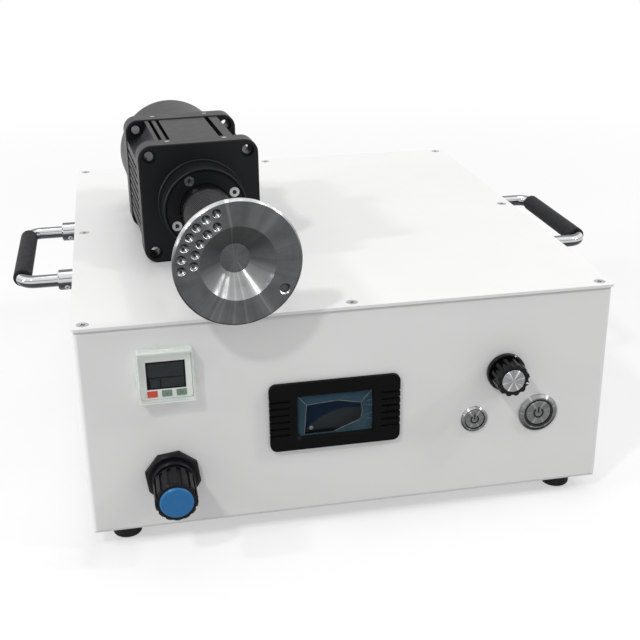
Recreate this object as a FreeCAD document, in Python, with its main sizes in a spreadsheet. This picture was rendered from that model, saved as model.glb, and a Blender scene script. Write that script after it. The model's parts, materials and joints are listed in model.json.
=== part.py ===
import FreeCAD, Part
import math
import os
import re
import Sketcher

# Bench plasma treater: a folded steel cabinet with gas and power controls on its front,
# and the rotary nozzle head that it feeds, which rests on the lid when it isn't in use.
# X runs to the right, Y to the rear and Z up. The feet stand on Z = 0.

# Driving sizes, in millimetres and degrees
SIZES = {
    # Cabinet of folded sheet
    "case_width": 360.0,
    "case_depth": 400.0,
    "case_height": 150.0,
    "sheet_wall": 1.5,
    "bend_radius": 3.0,
    "return_depth": 12.0,
    "seam_gap": 0.3,
    "tab_reach": 10.0,
    "tab_length": 100.0,
    "lid_flange": 15.0,
    "lid_thickness": 2.0,
    "lid_overhang": 1.15,
    "lid_corner": 3.0,
    "lid_screw_inset": 7.9,
    "lid_screw_head": 7.6,
    "lid_screw_shank": 4.0,
    "lid_screw_length": 9.0,
    "screw_clearance": 0.4,
    "sink_gap": 0.25,
    "vent_width": 3.0,
    "vent_length": 26.0,
    "vent_pitch": 8.0,
    "vent_level": 62.0,
    "vent_start": 95.0,
    # Rubber feet
    "foot_height": 12.0,
    "foot_width": 20.0,
    "foot_side_inset": 22.5,
    "foot_end_inset": 19.0,
    "foot_stem": 6.0,
    "foot_barb": 8.0,
    "foot_recess": 8.0,
    # Side handles
    "handle_span": 120.0,
    "handle_reach": 40.0,
    "handle_level": 133.4,
    "handle_tube": 9.5,
    "handle_bend": 10.0,
    "handle_spigot": 6.0,
    "spigot_length": 9.0,
    "grip_width": 13.5,
    "ferrule_width": 15.3,
    "ferrule_length": 13.5,
    # Clearances and bevels
    "fit_gap": 0.1,
    "run_gap": 0.3,
    "running_fit": 0.05,
    "small_bevel": 0.5,
    "wide_bevel": 1.0,
    # Power meter
    "meter_x": -13.5,
    "meter_level": 74.3,
    "meter_width": 89.6,
    "meter_height": 49.6,
    "meter_corner": 5.0,
    "meter_proud": 3.0,
    "meter_body_width": 84.6,
    "meter_body_height": 44.7,
    "meter_body_depth": 21.4,
    "meter_wall": 2.2,
    "window_width": 52.0,
    "window_height": 30.5,
    "window_recess": 1.8,
    "window_thickness": 1.2,
    "window_ledge": 2.0,
    "glass_lap": 2.5,
    "glass_thickness": 3.2,
    "groove_pitch": 5.0,
    "groove_length": 13.5,
    "groove_width": 1.6,
    "groove_depth": 0.9,
    "groove_notch": 1.3,
    "meter_key_x": 37.6,
    "meter_key_width": 3.8,
    "meter_key_travel": 0.4,
    # Gas pressure switch
    "switch_x": -124.3,
    "switch_level": 114.6,
    "switch_width": 33.0,
    "switch_body_width": 30.0,
    "switch_proud": 3.0,
    "switch_depth": 28.0,
    "switch_port": 10.0,
    "switch_port_length": 9.0,
    "display_width": 25.0,
    "display_height": 19.2,
    "display_thickness": 0.8,
    "key_width": 6.4,
    "key_height": 4.3,
    "key_pitch": 9.35,
    "key_drop": 12.9,
    "key_proud": 0.6,
    "key_thickness": 2.2,
    "key_travel": 0.4,
    "cover_width": 36.0,
    "cover_wall": 1.2,
    "cover_reach": 7.8,
    "cover_notch_width": 9.0,
    "cover_notch_depth": 2.0,
    "cover_ear_reach": 23.6,
    "cover_ear_radius": 5.2,
    "cover_ear_drop": 4.2,
    # Push buttons
    "button_level": 58.0,
    "start_x": 85.2,
    "start_head": 19.0,
    "start_barrel": 15.8,
    "start_cap": 14.4,
    "start_proud": 2.0,
    "start_depth": 24.0,
    "start_travel": 2.5,
    "power_button_x": 132.0,
    "power_button_head": 28.0,
    "power_button_barrel": 24.6,
    "power_button_cap": 18.5,
    "power_button_proud": 2.2,
    "power_button_depth": 28.0,
    "power_button_travel": 3.0,
    "cap_thickness": 3.0,
    "cap_sink": 0.3,
    "cap_stem": 7.6,
    "button_nut_thickness": 3.5,
    "start_nut_flats": 19.0,
    "power_nut_flats": 28.0,
    # Power control knob
    "knob_x": 106.0,
    "knob_level": 92.5,
    "knob_skirt": 27.0,
    "knob_skirt_height": 3.2,
    "knob_top": 23.0,
    "knob_height": 16.0,
    "knob_lift": 0.8,
    "knob_cap": 15.8,
    "knob_cap_thickness": 1.0,
    "knob_cap_proud": 0.3,
    "knob_draft": 0.4,
    "knob_scallop": 2.2,
    "knob_hollow": 14.0,
    "knob_hollow_depth": 3.6,
    "pot_width": 16.5,
    "pot_depth": 8.5,
    "pot_bush": 7.0,
    "pot_bush_reach": 4.0,
    "pot_shaft": 6.0,
    "lug_width": 1.6,
    "lug_thickness": 0.8,
    "pot_nut_flats": 10.0,
    "pot_nut_thickness": 2.0,
    # Gas pressure regulator
    "regulator_x": -124.3,
    "regulator_level": 39.0,
    "regulator_reach": 36.0,
    "bonnet_width": 29.0,
    "bonnet_reach": 9.0,
    "bonnet_neck": 24.0,
    "neck_reach": 12.0,
    "bonnet_shoulder": 36.0,
    "panel_nut_flats": 35.2,
    "panel_nut_crown": 33.0,
    "panel_nut_thickness": 4.5,
    "regulator_block": 40.0,
    "regulator_block_start": 22.0,
    "regulator_block_depth": 34.0,
    "regulator_bowl": 34.0,
    "regulator_bowl_depth": 20.0,
    "regulator_port": 11.4,
    "gas_knob_width": 28.0,
    "gas_knob_gap": 0.3,
    "gas_knob_rim": 1.6,
    "gas_knob_flute": 1.1,
    "gas_knob_groove": 2.7,
    "gas_cap_width": 22.0,
    "gas_cap_thickness": 3.0,
    "gas_cap_proud": 1.2,
    "spindle_width": 8.0,
    "spindle_sink": 12.0,
    "spindle_reach": 30.0,
    # Plasma head housing
    "head_x": -86.1,
    "head_setback": 116.6,
    "head_turn": 3.81,
    "head_width": 86.0,
    "head_corner": 10.0,
    "front_flange": 16.0,
    "rear_flange": 18.0,
    "flange_gap": 73.0,
    "flange_hole_offset": 35.0,
    "flange_hole": 6.5,
    "flange_counterbore": 9.6,
    "flange_counterbore_depth": 3.0,
    "pilot_width": 62.8,
    "pilot_proud": 2.0,
    "barrel_width": 84.4,
    "barrel_bore": 60.2,
    "scoop_radius": 12.0,
    "scoop_offset": 40.0,
    "top_slot_width": 2.5,
    "top_slot_left": 24.2,
    "top_slot_pitch": 5.6,
    "top_slot_right": 19.8,
    "right_slot_width": 3.5,
    "slot_depth": 6.0,
    "side_slot_width": 2.6,
    "side_slot_pitch": 6.0,
    "rear_cover_width": 85.0,
    "rear_cover_length": 61.0,
    "rear_cover_wall": 3.0,
    "rear_cover_bevel": 2.0,
    "rear_boss": 20.0,
    "rear_boss_length": 24.0,
    "flange_screw": 4.0,
    "flange_screw_length": 8.0,
    "flange_screw_offset": 20.5,
    "flange_screw_setback": 11.5,
    # Bearings and motor inside the head
    "shaft_width": 25.0,
    "bearing_width": 37.0,
    "bearing_length": 7.0,
    "bearing_sink": 2.0,
    "stator_bore": 50.0,
    "stator_length": 62.0,
    "stator_slot_width": 2.5,
    "stator_slot_depth": 3.4,
    "rotor_width": 48.6,
    "rotor_length": 54.0,
    # Bearing cap and nozzle
    "bearing_cap_width": 59.4,
    "bearing_cap_face": 20.0,
    "bearing_cap_rim": 1.0,
    "bearing_cap_lip": 1.5,
    "bearing_cap_floor": 8.0,
    "cap_screw_radius": 23.4,
    "cap_screw_angle": 27.0,
    "cap_screw_head": 7.0,
    "cap_screw_head_height": 4.0,
    "cap_screw_shank": 4.0,
    "cap_screw_length": 27.0,
    "cap_screw_socket": 3.0,
    "collar_width": 36.4,
    "collar_front": 31.0,
    "neck_width": 34.2,
    "neck_front": 125.0,
    "shaft_bore": 14.0,
    "shaft_bore_front": 121.0,
    "shaft_rear": 112.0,
    "disc_width": 80.0,
    "disc_face": 140.5,
    "disc_rim": 5.0,
    "disc_bevel": 1.0,
    "cone_width": 47.0,
    "hub_width": 18.8,
    "cone_depth": 11.5,
    "hub_spread": 50.0,
    "balance_hole": 5.0,
    "balance_hole_depth": 3.0,
    "balance_hole_bevel": 0.3,
    "drill_point": 1.6,
    "outer_hole_radius": 34.7,
    "outer_hole_start": 109.8,
    "outer_hole_step": 12.05,
    "inner_hole_radius": 27.1,
    "inner_hole_start": 115.9,
    "inner_hole_step": 15.4,
    "outlet_radius": 34.1,
    "outlet_angle": -34.0,
    "outlet_recess": 10.0,
    "outlet_bore": 5.5,
    "outlet_depth": 3.6,
    "electrode_rod": 6.0,
    "insulator_width": 12.0,
    "insulator_front": 112.0,
    "electrode_front": 118.0,
    "insulator_rear": 130.0,
    # Connections at the head's rear
    "head_port_offset": 20.0,
    "gland_flats": 18.0,
    "gland_cap": 16.0,
    "gland_bevel": 2.0,
    "gland_reach": 22.0,
    "gland_bore": 9.0,
    "head_nipple_reach": 20.0,
    "head_nipple_bore": 4.0,
    # Rear panel fittings
    "inlet_x": 10.0,
    "inlet_level": 60.0,
    "inlet_plate_width": 32.0,
    "inlet_plate_height": 50.0,
    "inlet_plate_proud": 2.6,
    "inlet_body_width": 27.2,
    "inlet_body_height": 45.0,
    "inlet_body_depth": 28.0,
    "inlet_rise": 9.0,
    "socket_width": 24.4,
    "socket_height": 16.8,
    "socket_corner": 5.0,
    "socket_depth": 19.0,
    "pin_pitch": 7.0,
    "pin_width": 2.0,
    "pin_height": 4.0,
    "pin_length": 15.0,
    "drawer_width": 23.0,
    "drawer_height": 8.0,
    "drawer_drop": 14.0,
    "drawer_depth": 24.0,
    "drawer_lip": 2.0,
    "fuse_width": 5.4,
    "fuse_length": 20.4,
    "fan_x": 108.0,
    "fan_level": 74.0,
    "fan_width": 80.0,
    "fan_depth": 25.0,
    "fan_bore": 76.0,
    "fan_hub": 32.0,
    "fan_blade": 1.6,
    "fan_tip_gap": 0.8,
    "fan_bearing": 8.0,
    "spider_width": 4.8,
    "spider_depth": 3.2,
    "grille_slot": 3.2,
    "fitting_x": -124.0,
    "fitting_level": 42.0,
    "fitting_pitch": 40.0,
    "fitting_reach": 20.0,
    "fitting_thread": 12.0,
    "fitting_hex": 17.0,
    "fitting_cap": 15.0,
    "fitting_bore": 4.0,
    "fitting_inside": 20.0,
    "head_socket_x": -124.0,
    "head_socket_level": 100.0,
    "head_socket_width": 26.0,
    "head_socket_barrel": 20.0,
    "head_socket_proud": 12.0,
    "head_socket_depth": 16.0,
    "head_socket_bore": 16.0,
    # Modules inside the cabinet
    "supply_width": 98.0,
    "supply_length": 160.0,
    "supply_height": 42.0,
    "supply_gap": 15.0,
    "slit_width": 3.0,
    "slit_depth": 2.0,
    "slit_pitch": 10.0,
    "core_width": 84.0,
    "core_depth": 40.0,
    "core_height": 70.0,
    "coil_width": 50.0,
    "coil_depth": 66.0,
    "coil_lift": 14.0,
    "coil_corner": 10.0,
    "terminal_width": 9.0,
    "terminal_height": 11.0,
    "board_width": 120.0,
    "board_length": 90.0,
    "board_setback": 100.0,
    "board_thickness": 1.6,
    "relay_width": 30.0,
    "relay_length": 30.0,
    "relay_height": 15.0,
    "can_width": 13.0,
    "can_height": 20.0,
    "standoff_height": 10.0,
    "standoff_width": 7.0,
    "valve_width": 26.0,
    "valve_length": 40.0,
    "valve_height": 22.0,
    "valve_coil": 24.0,
    "valve_coil_height": 30.0,
}

# Places worked out from the driving sizes
PLACES = {
    "front_y": "(Sizes.regulator_reach - Sizes.case_depth - Sizes.fitting_reach) / 2",
    "middle_y": "front_y + Sizes.case_depth / 2",
    "rear_y": "front_y + Sizes.case_depth",
    "base_z": "Sizes.foot_height",
    "wall_height": "Sizes.case_height - Sizes.lid_thickness",
    "lid_z": "Sizes.foot_height + Sizes.case_height",
    "floor_z": "Sizes.foot_height + Sizes.sheet_wall",
    "lid_screw_x": "Sizes.case_width / 2 + Sizes.lid_overhang - Sizes.lid_screw_inset",
    "lid_screw_y": "Sizes.case_depth / 2 + Sizes.lid_overhang - Sizes.lid_screw_inset",
    "head_y": "front_y + Sizes.head_setback",
    "head_z": "lid_z + Sizes.head_width / 2",
    "barrel_rear": "Sizes.front_flange + Sizes.flange_gap",
    "housing_rear": "barrel_rear + Sizes.rear_flange",
    "cover_rear": "housing_rear + Sizes.rear_cover_length",
    "hub_face": "Sizes.disc_face - Sizes.cone_depth",
}

# How often the repeated features come
VENTS = 8
GRILLE_ROWS = 11
BEZEL_GROOVES = 6
POWER_KNOB_FLUTES = 12
GAS_KNOB_FLUTES = 14
SIDE_FINS = 8
OUTER_HOLES = 7
INNER_HOLES = 5
STATOR_SLOTS = 12
FAN_BLADES = 7
SUPPLY_SLITS = 12

doc = FreeCAD.newDocument("plasma_treater")
V = FreeCAD.Vector
WORD = re.compile(r"[a-z][a-z_]*")
PIECES = []


def fill_sheet(name, cells):
    """Write one sheet of aliased cells."""
    sheet = doc.addObject("Spreadsheet::Sheet", name)
    for row, (alias, content) in enumerate(cells, start=1):
        sheet.set(f"A{row}", alias)
        sheet.set(f"B{row}", content)
        sheet.setAlias(f"B{row}", alias)
    return sheet


sizes_sheet = fill_sheet("Sizes", [(alias, str(size)) for alias, size in SIZES.items()])
doc.recompute()
fill_sheet("Places", [(alias, "=" + text) for alias, text in PLACES.items()])
doc.recompute()


def formula(text):
    """Put the sheet's name before each size and place in a formula."""
    def full_name(match):
        word = match.group()
        if word in SIZES:
            return "Sizes." + word
        if word in PLACES:
            return "Places." + word
        return word
    return WORD.sub(full_name, str(text))


def number(text):
    """Work out a formula's present value."""
    return float(sizes_sheet.evalExpression(formula(text)))


def piece(label, x="0", y="0", z="0", yaw="0", roll="90", group=False):
    """Start a body. With roll 90 its own Z leaves the cabinet's front, turned by yaw."""
    body = doc.addObject("PartDesign::Body", label)
    body.Label = label
    body.AllowCompound = group
    place = f"create(<<vector>>; {x}; {y}; {z}); create(<<rotation>>; {yaw}; 0; {roll})"
    body.setExpression("Placement", formula(f"create(<<placement>>; {place})"))
    PIECES.append(body)
    return body


def origin_part(body, role):
    """Find one of the body's own planes or axes."""
    for part in body.Origin.OriginFeatures:
        if part.Role == role:
            return part
    raise ValueError(role)


def sketch(body, lift="0", role="XY_Plane"):
    """Start a sketch on one of the body's planes, lifted along the plane's normal."""
    drawing = body.newObject("Sketcher::SketchObject", body.Label + "_outline")
    drawing.AttachmentSupport = (origin_part(body, role), [""])
    drawing.MapMode = "FlatFace"
    drawing.setExpression("AttachmentOffset.Base.z", formula(lift))
    return drawing


def bind(drawing, kind, place, text):
    """Add one driving constraint that follows a formula."""
    row = drawing.addConstraint(Sketcher.Constraint(kind, *place, number(text)))
    drawing.setExpression(f"Constraints[{row}]", formula(text))


def pin(drawing, shape, end, x, y):
    """Hold a point at two formulas."""
    for kind, text, axis in (("DistanceX", x, -2), ("DistanceY", y, -1)):
        if abs(number(text)) < 1e-7:
            drawing.addConstraint(Sketcher.Constraint("PointOnObject", shape, end, axis))
        else:
            bind(drawing, kind, (-1, 1, shape, end), text)


def outline(drawing, points):
    """Draw a closed outline of straight edges through the points."""
    places = [V(number(x), number(y), 0) for x, y in points]
    last = len(points) - 1
    first = drawing.GeometryCount
    for here, start in enumerate(places):
        end = places[0 if here == last else here + 1]
        drawing.addGeometry(Part.LineSegment(start, end), False)
    for here, (x, y) in enumerate(points):
        before = first + (last if here == 0 else here - 1)
        drawing.addConstraint(Sketcher.Constraint("Coincident", before, 2, first + here, 1))
        pin(drawing, first + here, 1, x, y)
    return drawing


def circle(drawing, x, y, width):
    """Draw a circle."""
    round_edge = Part.Circle(V(number(x), number(y), 0), V(0, 0, 1), number(width) / 2)
    shape = drawing.addGeometry(round_edge, False)
    pin(drawing, shape, 3, x, y)
    bind(drawing, "Diameter", (shape,), width)
    return drawing


def box_outline(drawing, width, height, x="0", y="0"):
    """Draw a rectangle round a centre."""
    left, right = f"({x}) - ({width}) / 2", f"({x}) + ({width}) / 2"
    low, high = f"({y}) - ({height}) / 2", f"({y}) + ({height}) / 2"
    return outline(drawing, [(left, low), (right, low), (right, high), (left, high)])


def round_box(drawing, width, height, radius, x="0", y="0"):
    """Draw a rectangle with round corners."""
    across = f"(({width}) / 2 - ({radius}))"
    upward = f"(({height}) / 2 - ({radius}))"
    reach = number(radius)
    first = drawing.GeometryCount
    corners = [(1, 1, 0), (-1, 1, 90), (-1, -1, 180), (1, -1, 270)]
    arcs = []
    for side, level, start in corners:
        centre = (f"({x}) + ({side}) * {across}", f"({y}) + ({level}) * {upward}")
        middle = V(number(centre[0]), number(centre[1]), 0)
        whole = Part.Circle(middle, V(0, 0, 1), reach)
        begin = math.radians(start)
        arc = Part.ArcOfCircle(whole, begin, begin + math.pi / 2)
        shape = drawing.addGeometry(arc, False)
        pin(drawing, shape, 3, *centre)
        arcs.append(arc)
    bind(drawing, "Radius", (first,), radius)
    for here in range(1, 4):
        drawing.addConstraint(Sketcher.Constraint("Equal", first, first + here))
    for here in range(4):
        following = (here + 1) % 4
        edge = Part.LineSegment(arcs[here].EndPoint, arcs[following].StartPoint)
        line = drawing.addGeometry(edge, False)
        drawing.addConstraint(Sketcher.Constraint("Tangent", first + here, 2, line, 1))
        drawing.addConstraint(Sketcher.Constraint("Tangent", line, 2, first + following, 1))
    return drawing


def polygon(drawing, flats, count, start, x="0", y="0"):
    """Draw a regular polygon of a given width across its flats."""
    corner = f"({flats}) / 2 / cos({180 / count})"
    angles = [start + 360 / count * step for step in range(count)]
    points = [(f"({x}) + {corner} * cos({a})", f"({y}) + {corner} * sin({a})") for a in angles]
    return outline(drawing, points)


def started(body, kind, word):
    """Add a feature to the body and note the volume before it."""
    before = body.Tip.Shape.Volume if body.Tip else 0.0
    feature = body.newObject("PartDesign::" + kind, f"{body.Label}_{word}")
    return feature, before


def checked(body, feature, before, grows):
    """Make sure that a feature did its work on the body."""
    body.Tip = feature
    doc.recompute()
    change = feature.Shape.Volume - before
    if (change > 0) != grows or abs(change) < 1e-3:
        raise RuntimeError(f"{body.Label}: {feature.Name} changed the volume by {change}")
    return feature


def pad(body, drawing, length, reverse=False, middle=False):
    """Push an outline out of its plane."""
    feature, before = started(body, "Pad", "pad")
    feature.Profile = drawing
    feature.setExpression("Length", formula(length))
    feature.Reversed = reverse
    feature.Midplane = middle
    return checked(body, feature, before, True)


def cut(body, drawing, depth, reverse=False, middle=False):
    """Cut an outline into the solid, against the plane's normal."""
    feature, before = started(body, "Pocket", "cut")
    feature.Profile = drawing
    feature.setExpression("Length", formula(depth))
    feature.Reversed = reverse
    feature.Midplane = middle
    return checked(body, feature, before, False)


def turned(body, points, kind="Revolution", grows=True):
    """Turn a profile of (radius, height) points round the body's Z axis."""
    drawing = outline(sketch(body, role="XZ_Plane"), points)
    feature, before = started(body, kind, kind.lower())
    feature.Profile = drawing
    feature.ReferenceAxis = (drawing, ["V_Axis"])
    feature.Angle = 360
    return checked(body, feature, before, grows)


def grooved(body, points):
    """Turn a profile out of the solid, round the body's Z axis."""
    return turned(body, points, "Groove", False)


def around(body, feature, count, span="360"):
    """Repeat a feature round the body's Z axis."""
    pattern, before = started(body, "PolarPattern", "ring")
    pattern.Originals = [feature]
    pattern.Axis = (origin_part(body, "Z_Axis"), [""])
    pattern.setExpression("Angle", formula(span))
    pattern.Occurrences = count
    return checked(body, pattern, before, "Pocket" not in feature.TypeId)


def in_line(body, feature, role, pitch, count):
    """Repeat a feature at an even pitch along one of the body's axes."""
    pattern, before = started(body, "LinearPattern", "row")
    pattern.Originals = [feature]
    pattern.Direction = (origin_part(body, role), [""])
    pattern.setExpression("Length", formula(f"{count - 1} * {pitch}"))
    pattern.Occurrences = count
    return checked(body, pattern, before, "Pocket" not in feature.TypeId)


def level_edges(body, level, keep=None):
    """Name the edges that lie at one height of the body's own Z."""
    names = []
    for index, edge in enumerate(body.Tip.Shape.Edges, start=1):
        box = edge.BoundBox
        flat = abs(box.ZMin - number(level)) < 1e-4 and abs(box.ZMax - number(level)) < 1e-4
        if flat and (keep is None or keep(edge)):
            names.append(f"Edge{index}")
    return names


def of_radius(text):
    """Choose round edges by their radius."""
    wanted = number(text)
    return lambda edge: hasattr(edge.Curve, "Radius") and abs(edge.Curve.Radius - wanted) < 1e-4


def eased(body, names, amount, kind="Fillet"):
    """Round or bevel the named edges."""
    base = body.Tip
    feature = body.newObject("PartDesign::" + kind, f"{body.Label}_{kind.lower()}")
    feature.Base = (base, names)
    feature.setExpression("Radius" if kind == "Fillet" else "Size", formula(amount))
    body.Tip = feature
    doc.recompute()
    if not names or feature.Shape.isNull():
        raise RuntimeError(f"{body.Label}: {feature.Name} found {len(names)} edges")
    return feature


def bevelled(body, names, amount):
    """Bevel the named edges."""
    return eased(body, names, amount, "Chamfer")


def folded_pan(label, y, yaw):
    """Fold one end panel: a plate with a return all round and tabs that lap the tray."""
    pan = piece(label, y=y, z="base_z + wall_height / 2", yaw=yaw)
    blank = box_outline(sketch(pan, "-return_depth"), "case_width", "wall_height")
    pad(pan, blank, "return_depth")
    eased(pan, level_edges(pan, "0"), "bend_radius")
    inner_width = "case_width - 2 * sheet_wall"
    inner_height = "wall_height - 2 * sheet_wall"
    hollow = box_outline(sketch(pan, "-return_depth"), inner_width, inner_height)
    cut(pan, hollow, "return_depth - sheet_wall", reverse=True)
    eased(pan, level_edges(pan, "-sheet_wall"), "bend_radius - sheet_wall")
    tabs = sketch(pan, "-return_depth - tab_reach")
    side = "case_width / 2 - 1.5 * sheet_wall"
    box_outline(tabs, "sheet_wall", "tab_length", f"-({side})")
    box_outline(tabs, "sheet_wall", "tab_length", side)
    box_outline(tabs, "2 * tab_length", "sheet_wall", "0", "1.5 * sheet_wall - wall_height / 2")
    pad(pan, tabs, "2 * tab_reach")
    holes = sketch(pan, "-wall_height / 2", "XZ_Plane")
    for x in ("-lid_screw_x", "0", "lid_screw_x"):
        circle(holes, x, "lid_screw_y - case_depth / 2", "lid_screw_shank")
    cut(pan, holes, "sheet_wall", reverse=True)
    return pan


def front_panel():
    """Fold the front panel and punch its openings for the controls."""
    pan = folded_pan("front_panel", "front_y", "0")
    drop = "wall_height / 2"
    openings = sketch(pan)
    box_outline(openings, "meter_body_width + 2 * run_gap", "meter_body_height + 2 * run_gap",
                "meter_x", f"meter_level - {drop}")
    box_outline(openings, "switch_body_width + 2 * run_gap", "switch_body_width + 2 * run_gap",
                "switch_x", f"switch_level - {drop}")
    circle(openings, "start_x", f"button_level - {drop}", "start_barrel + fit_gap")
    circle(openings, "power_button_x", f"button_level - {drop}", "power_button_barrel + fit_gap")
    circle(openings, "knob_x", f"knob_level - {drop}", "pot_bush + fit_gap")
    circle(openings, "regulator_x", f"regulator_level - {drop}", "bonnet_width + fit_gap")
    cut(pan, openings, "return_depth + tab_reach")


def rear_panel():
    """Fold the rear panel and punch the fan's grille and the openings for its fittings."""
    pan = folded_pan("rear_panel", "rear_y", "180")
    drop = "wall_height / 2"
    openings = sketch(pan)
    box_outline(openings, "inlet_body_width + fit_gap", "inlet_body_height + fit_gap",
                "-inlet_x", f"inlet_level - {drop}")
    circle(openings, "-head_socket_x", f"head_socket_level - {drop}",
           "head_socket_barrel + fit_gap")
    for side in (-1, 1):
        circle(openings, f"-fitting_x + {side} * fitting_pitch / 2", f"fitting_level - {drop}",
               "fitting_thread + fit_gap")
    cut(pan, openings, "return_depth + tab_reach")
    grille = sketch(pan)
    for row in range(GRILLE_ROWS):
        offset = f"({row - GRILLE_ROWS // 2}) * 2 * grille_slot"
        chord = f"2 * sqrt((fan_bore / 2 - grille_slot) ^ 2 - ({offset}) ^ 2)"
        box_outline(grille, chord, "grille_slot", "-fan_x", f"fan_level - {drop} + {offset}")
    cut(pan, grille, "sheet_wall")


def base_tray():
    """Fold the tray: the floor and both side walls, with flanges that carry the lid."""
    tray = piece("base_tray", y="middle_y", z="base_z + wall_height / 2")
    ring = round_box(sketch(tray), "case_width", "wall_height", "bend_radius")
    round_box(ring, "case_width - 2 * sheet_wall", "wall_height - 2 * sheet_wall",
              "bend_radius - sheet_wall")
    length = "case_depth - 2 * return_depth - 2 * seam_gap"
    pad(tray, ring, length, middle=True)
    mouth = sketch(tray, "-wall_height / 2", "XZ_Plane")
    box_outline(mouth, "case_width - 2 * lid_flange", length)
    cut(tray, mouth, "sheet_wall", reverse=True)
    screw_holes = sketch(tray, "-wall_height / 2", "XZ_Plane")
    circle(screw_holes, "-lid_screw_x", "0", "lid_screw_shank")
    circle(screw_holes, "lid_screw_x", "0", "lid_screw_shank")
    cut(tray, screw_holes, "sheet_wall", reverse=True)
    foot_holes = sketch(tray, "wall_height / 2", "XZ_Plane")
    for x in ("foot_side_inset - case_width / 2", "case_width / 2 - foot_side_inset"):
        for y in ("foot_end_inset - case_depth / 2", "case_depth / 2 - foot_end_inset"):
            circle(foot_holes, x, y, "foot_stem")
    cut(tray, foot_holes, "sheet_wall")
    level = "handle_level - wall_height / 2"
    handle_holes = sketch(tray, "0", "YZ_Plane")
    for side in (-1, 1):
        circle(handle_holes, level, f"{side} * handle_span / 2", "handle_spigot + fit_gap")
    cut(tray, handle_holes, "case_width", middle=True)
    vent = sketch(tray, "0", "YZ_Plane")
    box_outline(vent, "vent_length", "vent_width", "vent_level - wall_height / 2",
                "vent_start - case_depth / 2")
    slot = cut(tray, vent, "case_width", middle=True)
    in_line(tray, slot, "Z_Axis", "vent_pitch", VENTS)


def lid_positions(drawing, width):
    """Draw one circle at each of the lid's eight screws."""
    for x in ("-lid_screw_x", "0", "lid_screw_x"):
        for y in ("-lid_screw_y", "0", "lid_screw_y"):
            if (x, y) != ("0", "0"):
                circle(drawing, x, y, width)
    return drawing


def lid():
    """Cut the lid plate with its countersunk holes, and turn its screws."""
    plate = piece("lid_plate", y="middle_y", z="base_z + wall_height", roll="0")
    blank = round_box(sketch(plate), "case_width + 2 * lid_overhang",
                      "case_depth + 2 * lid_overhang", "lid_corner")
    pad(plate, blank, "lid_thickness")
    width = "lid_screw_shank + 2 * screw_clearance"
    mouth = "lid_screw_head + 2 * sink_gap"
    holes = lid_positions(sketch(plate, "lid_thickness"), width)
    cut(plate, holes, "lid_thickness")
    lands = lid_positions(sketch(plate, "lid_thickness"), f"{mouth} + fit_gap")
    cut(plate, lands, "fit_gap")
    edges = level_edges(plate, "lid_thickness - fit_gap", of_radius(f"({width}) / 2"))
    sink = f"({mouth} - ({width})) / 2"
    bevelled(plate, edges, sink)
    screws = piece("lid_screws", y="middle_y", z="lid_z", roll="0", group=True)
    heads = lid_positions(sketch(screws, "-fit_gap"), "lid_screw_head")
    pad(screws, heads, "lid_thickness - fit_gap", reverse=True)
    cone_foot = level_edges(screws, "-lid_thickness", of_radius("lid_screw_head / 2"))
    bevelled(screws, cone_foot, "lid_thickness - 2 * fit_gap")
    shanks = lid_positions(sketch(screws, "-lid_thickness"), "lid_screw_shank - fit_gap")
    pad(screws, shanks, "lid_screw_length - lid_thickness", reverse=True)


def rubber_feet():
    """Mould the four push-in feet, with a hollow sole and a barbed stem."""
    feet = piece("rubber_feet", y="middle_y", z="base_z", roll="0", group=True)

    def four(lift, width):
        """Draw one circle for each foot."""
        drawing = sketch(feet, lift)
        for x in ("foot_side_inset - case_width / 2", "case_width / 2 - foot_side_inset"):
            for y in ("foot_end_inset - case_depth / 2", "case_depth / 2 - foot_end_inset"):
                circle(drawing, x, y, width)
        return drawing

    pad(feet, four("0", "foot_width"), "foot_height", reverse=True)
    eased(feet, level_edges(feet, "-foot_height"), "foot_width / 10")
    cut(feet, four("-foot_height", "foot_recess"), "foot_height / 3", reverse=True)
    pad(feet, four("0", "foot_stem"), "sheet_wall")
    pad(feet, four("sheet_wall", "foot_barb"), "foot_barb / 2")
    bevelled(feet, level_edges(feet, "sheet_wall + foot_barb / 2"), "foot_barb / 4")


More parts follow.
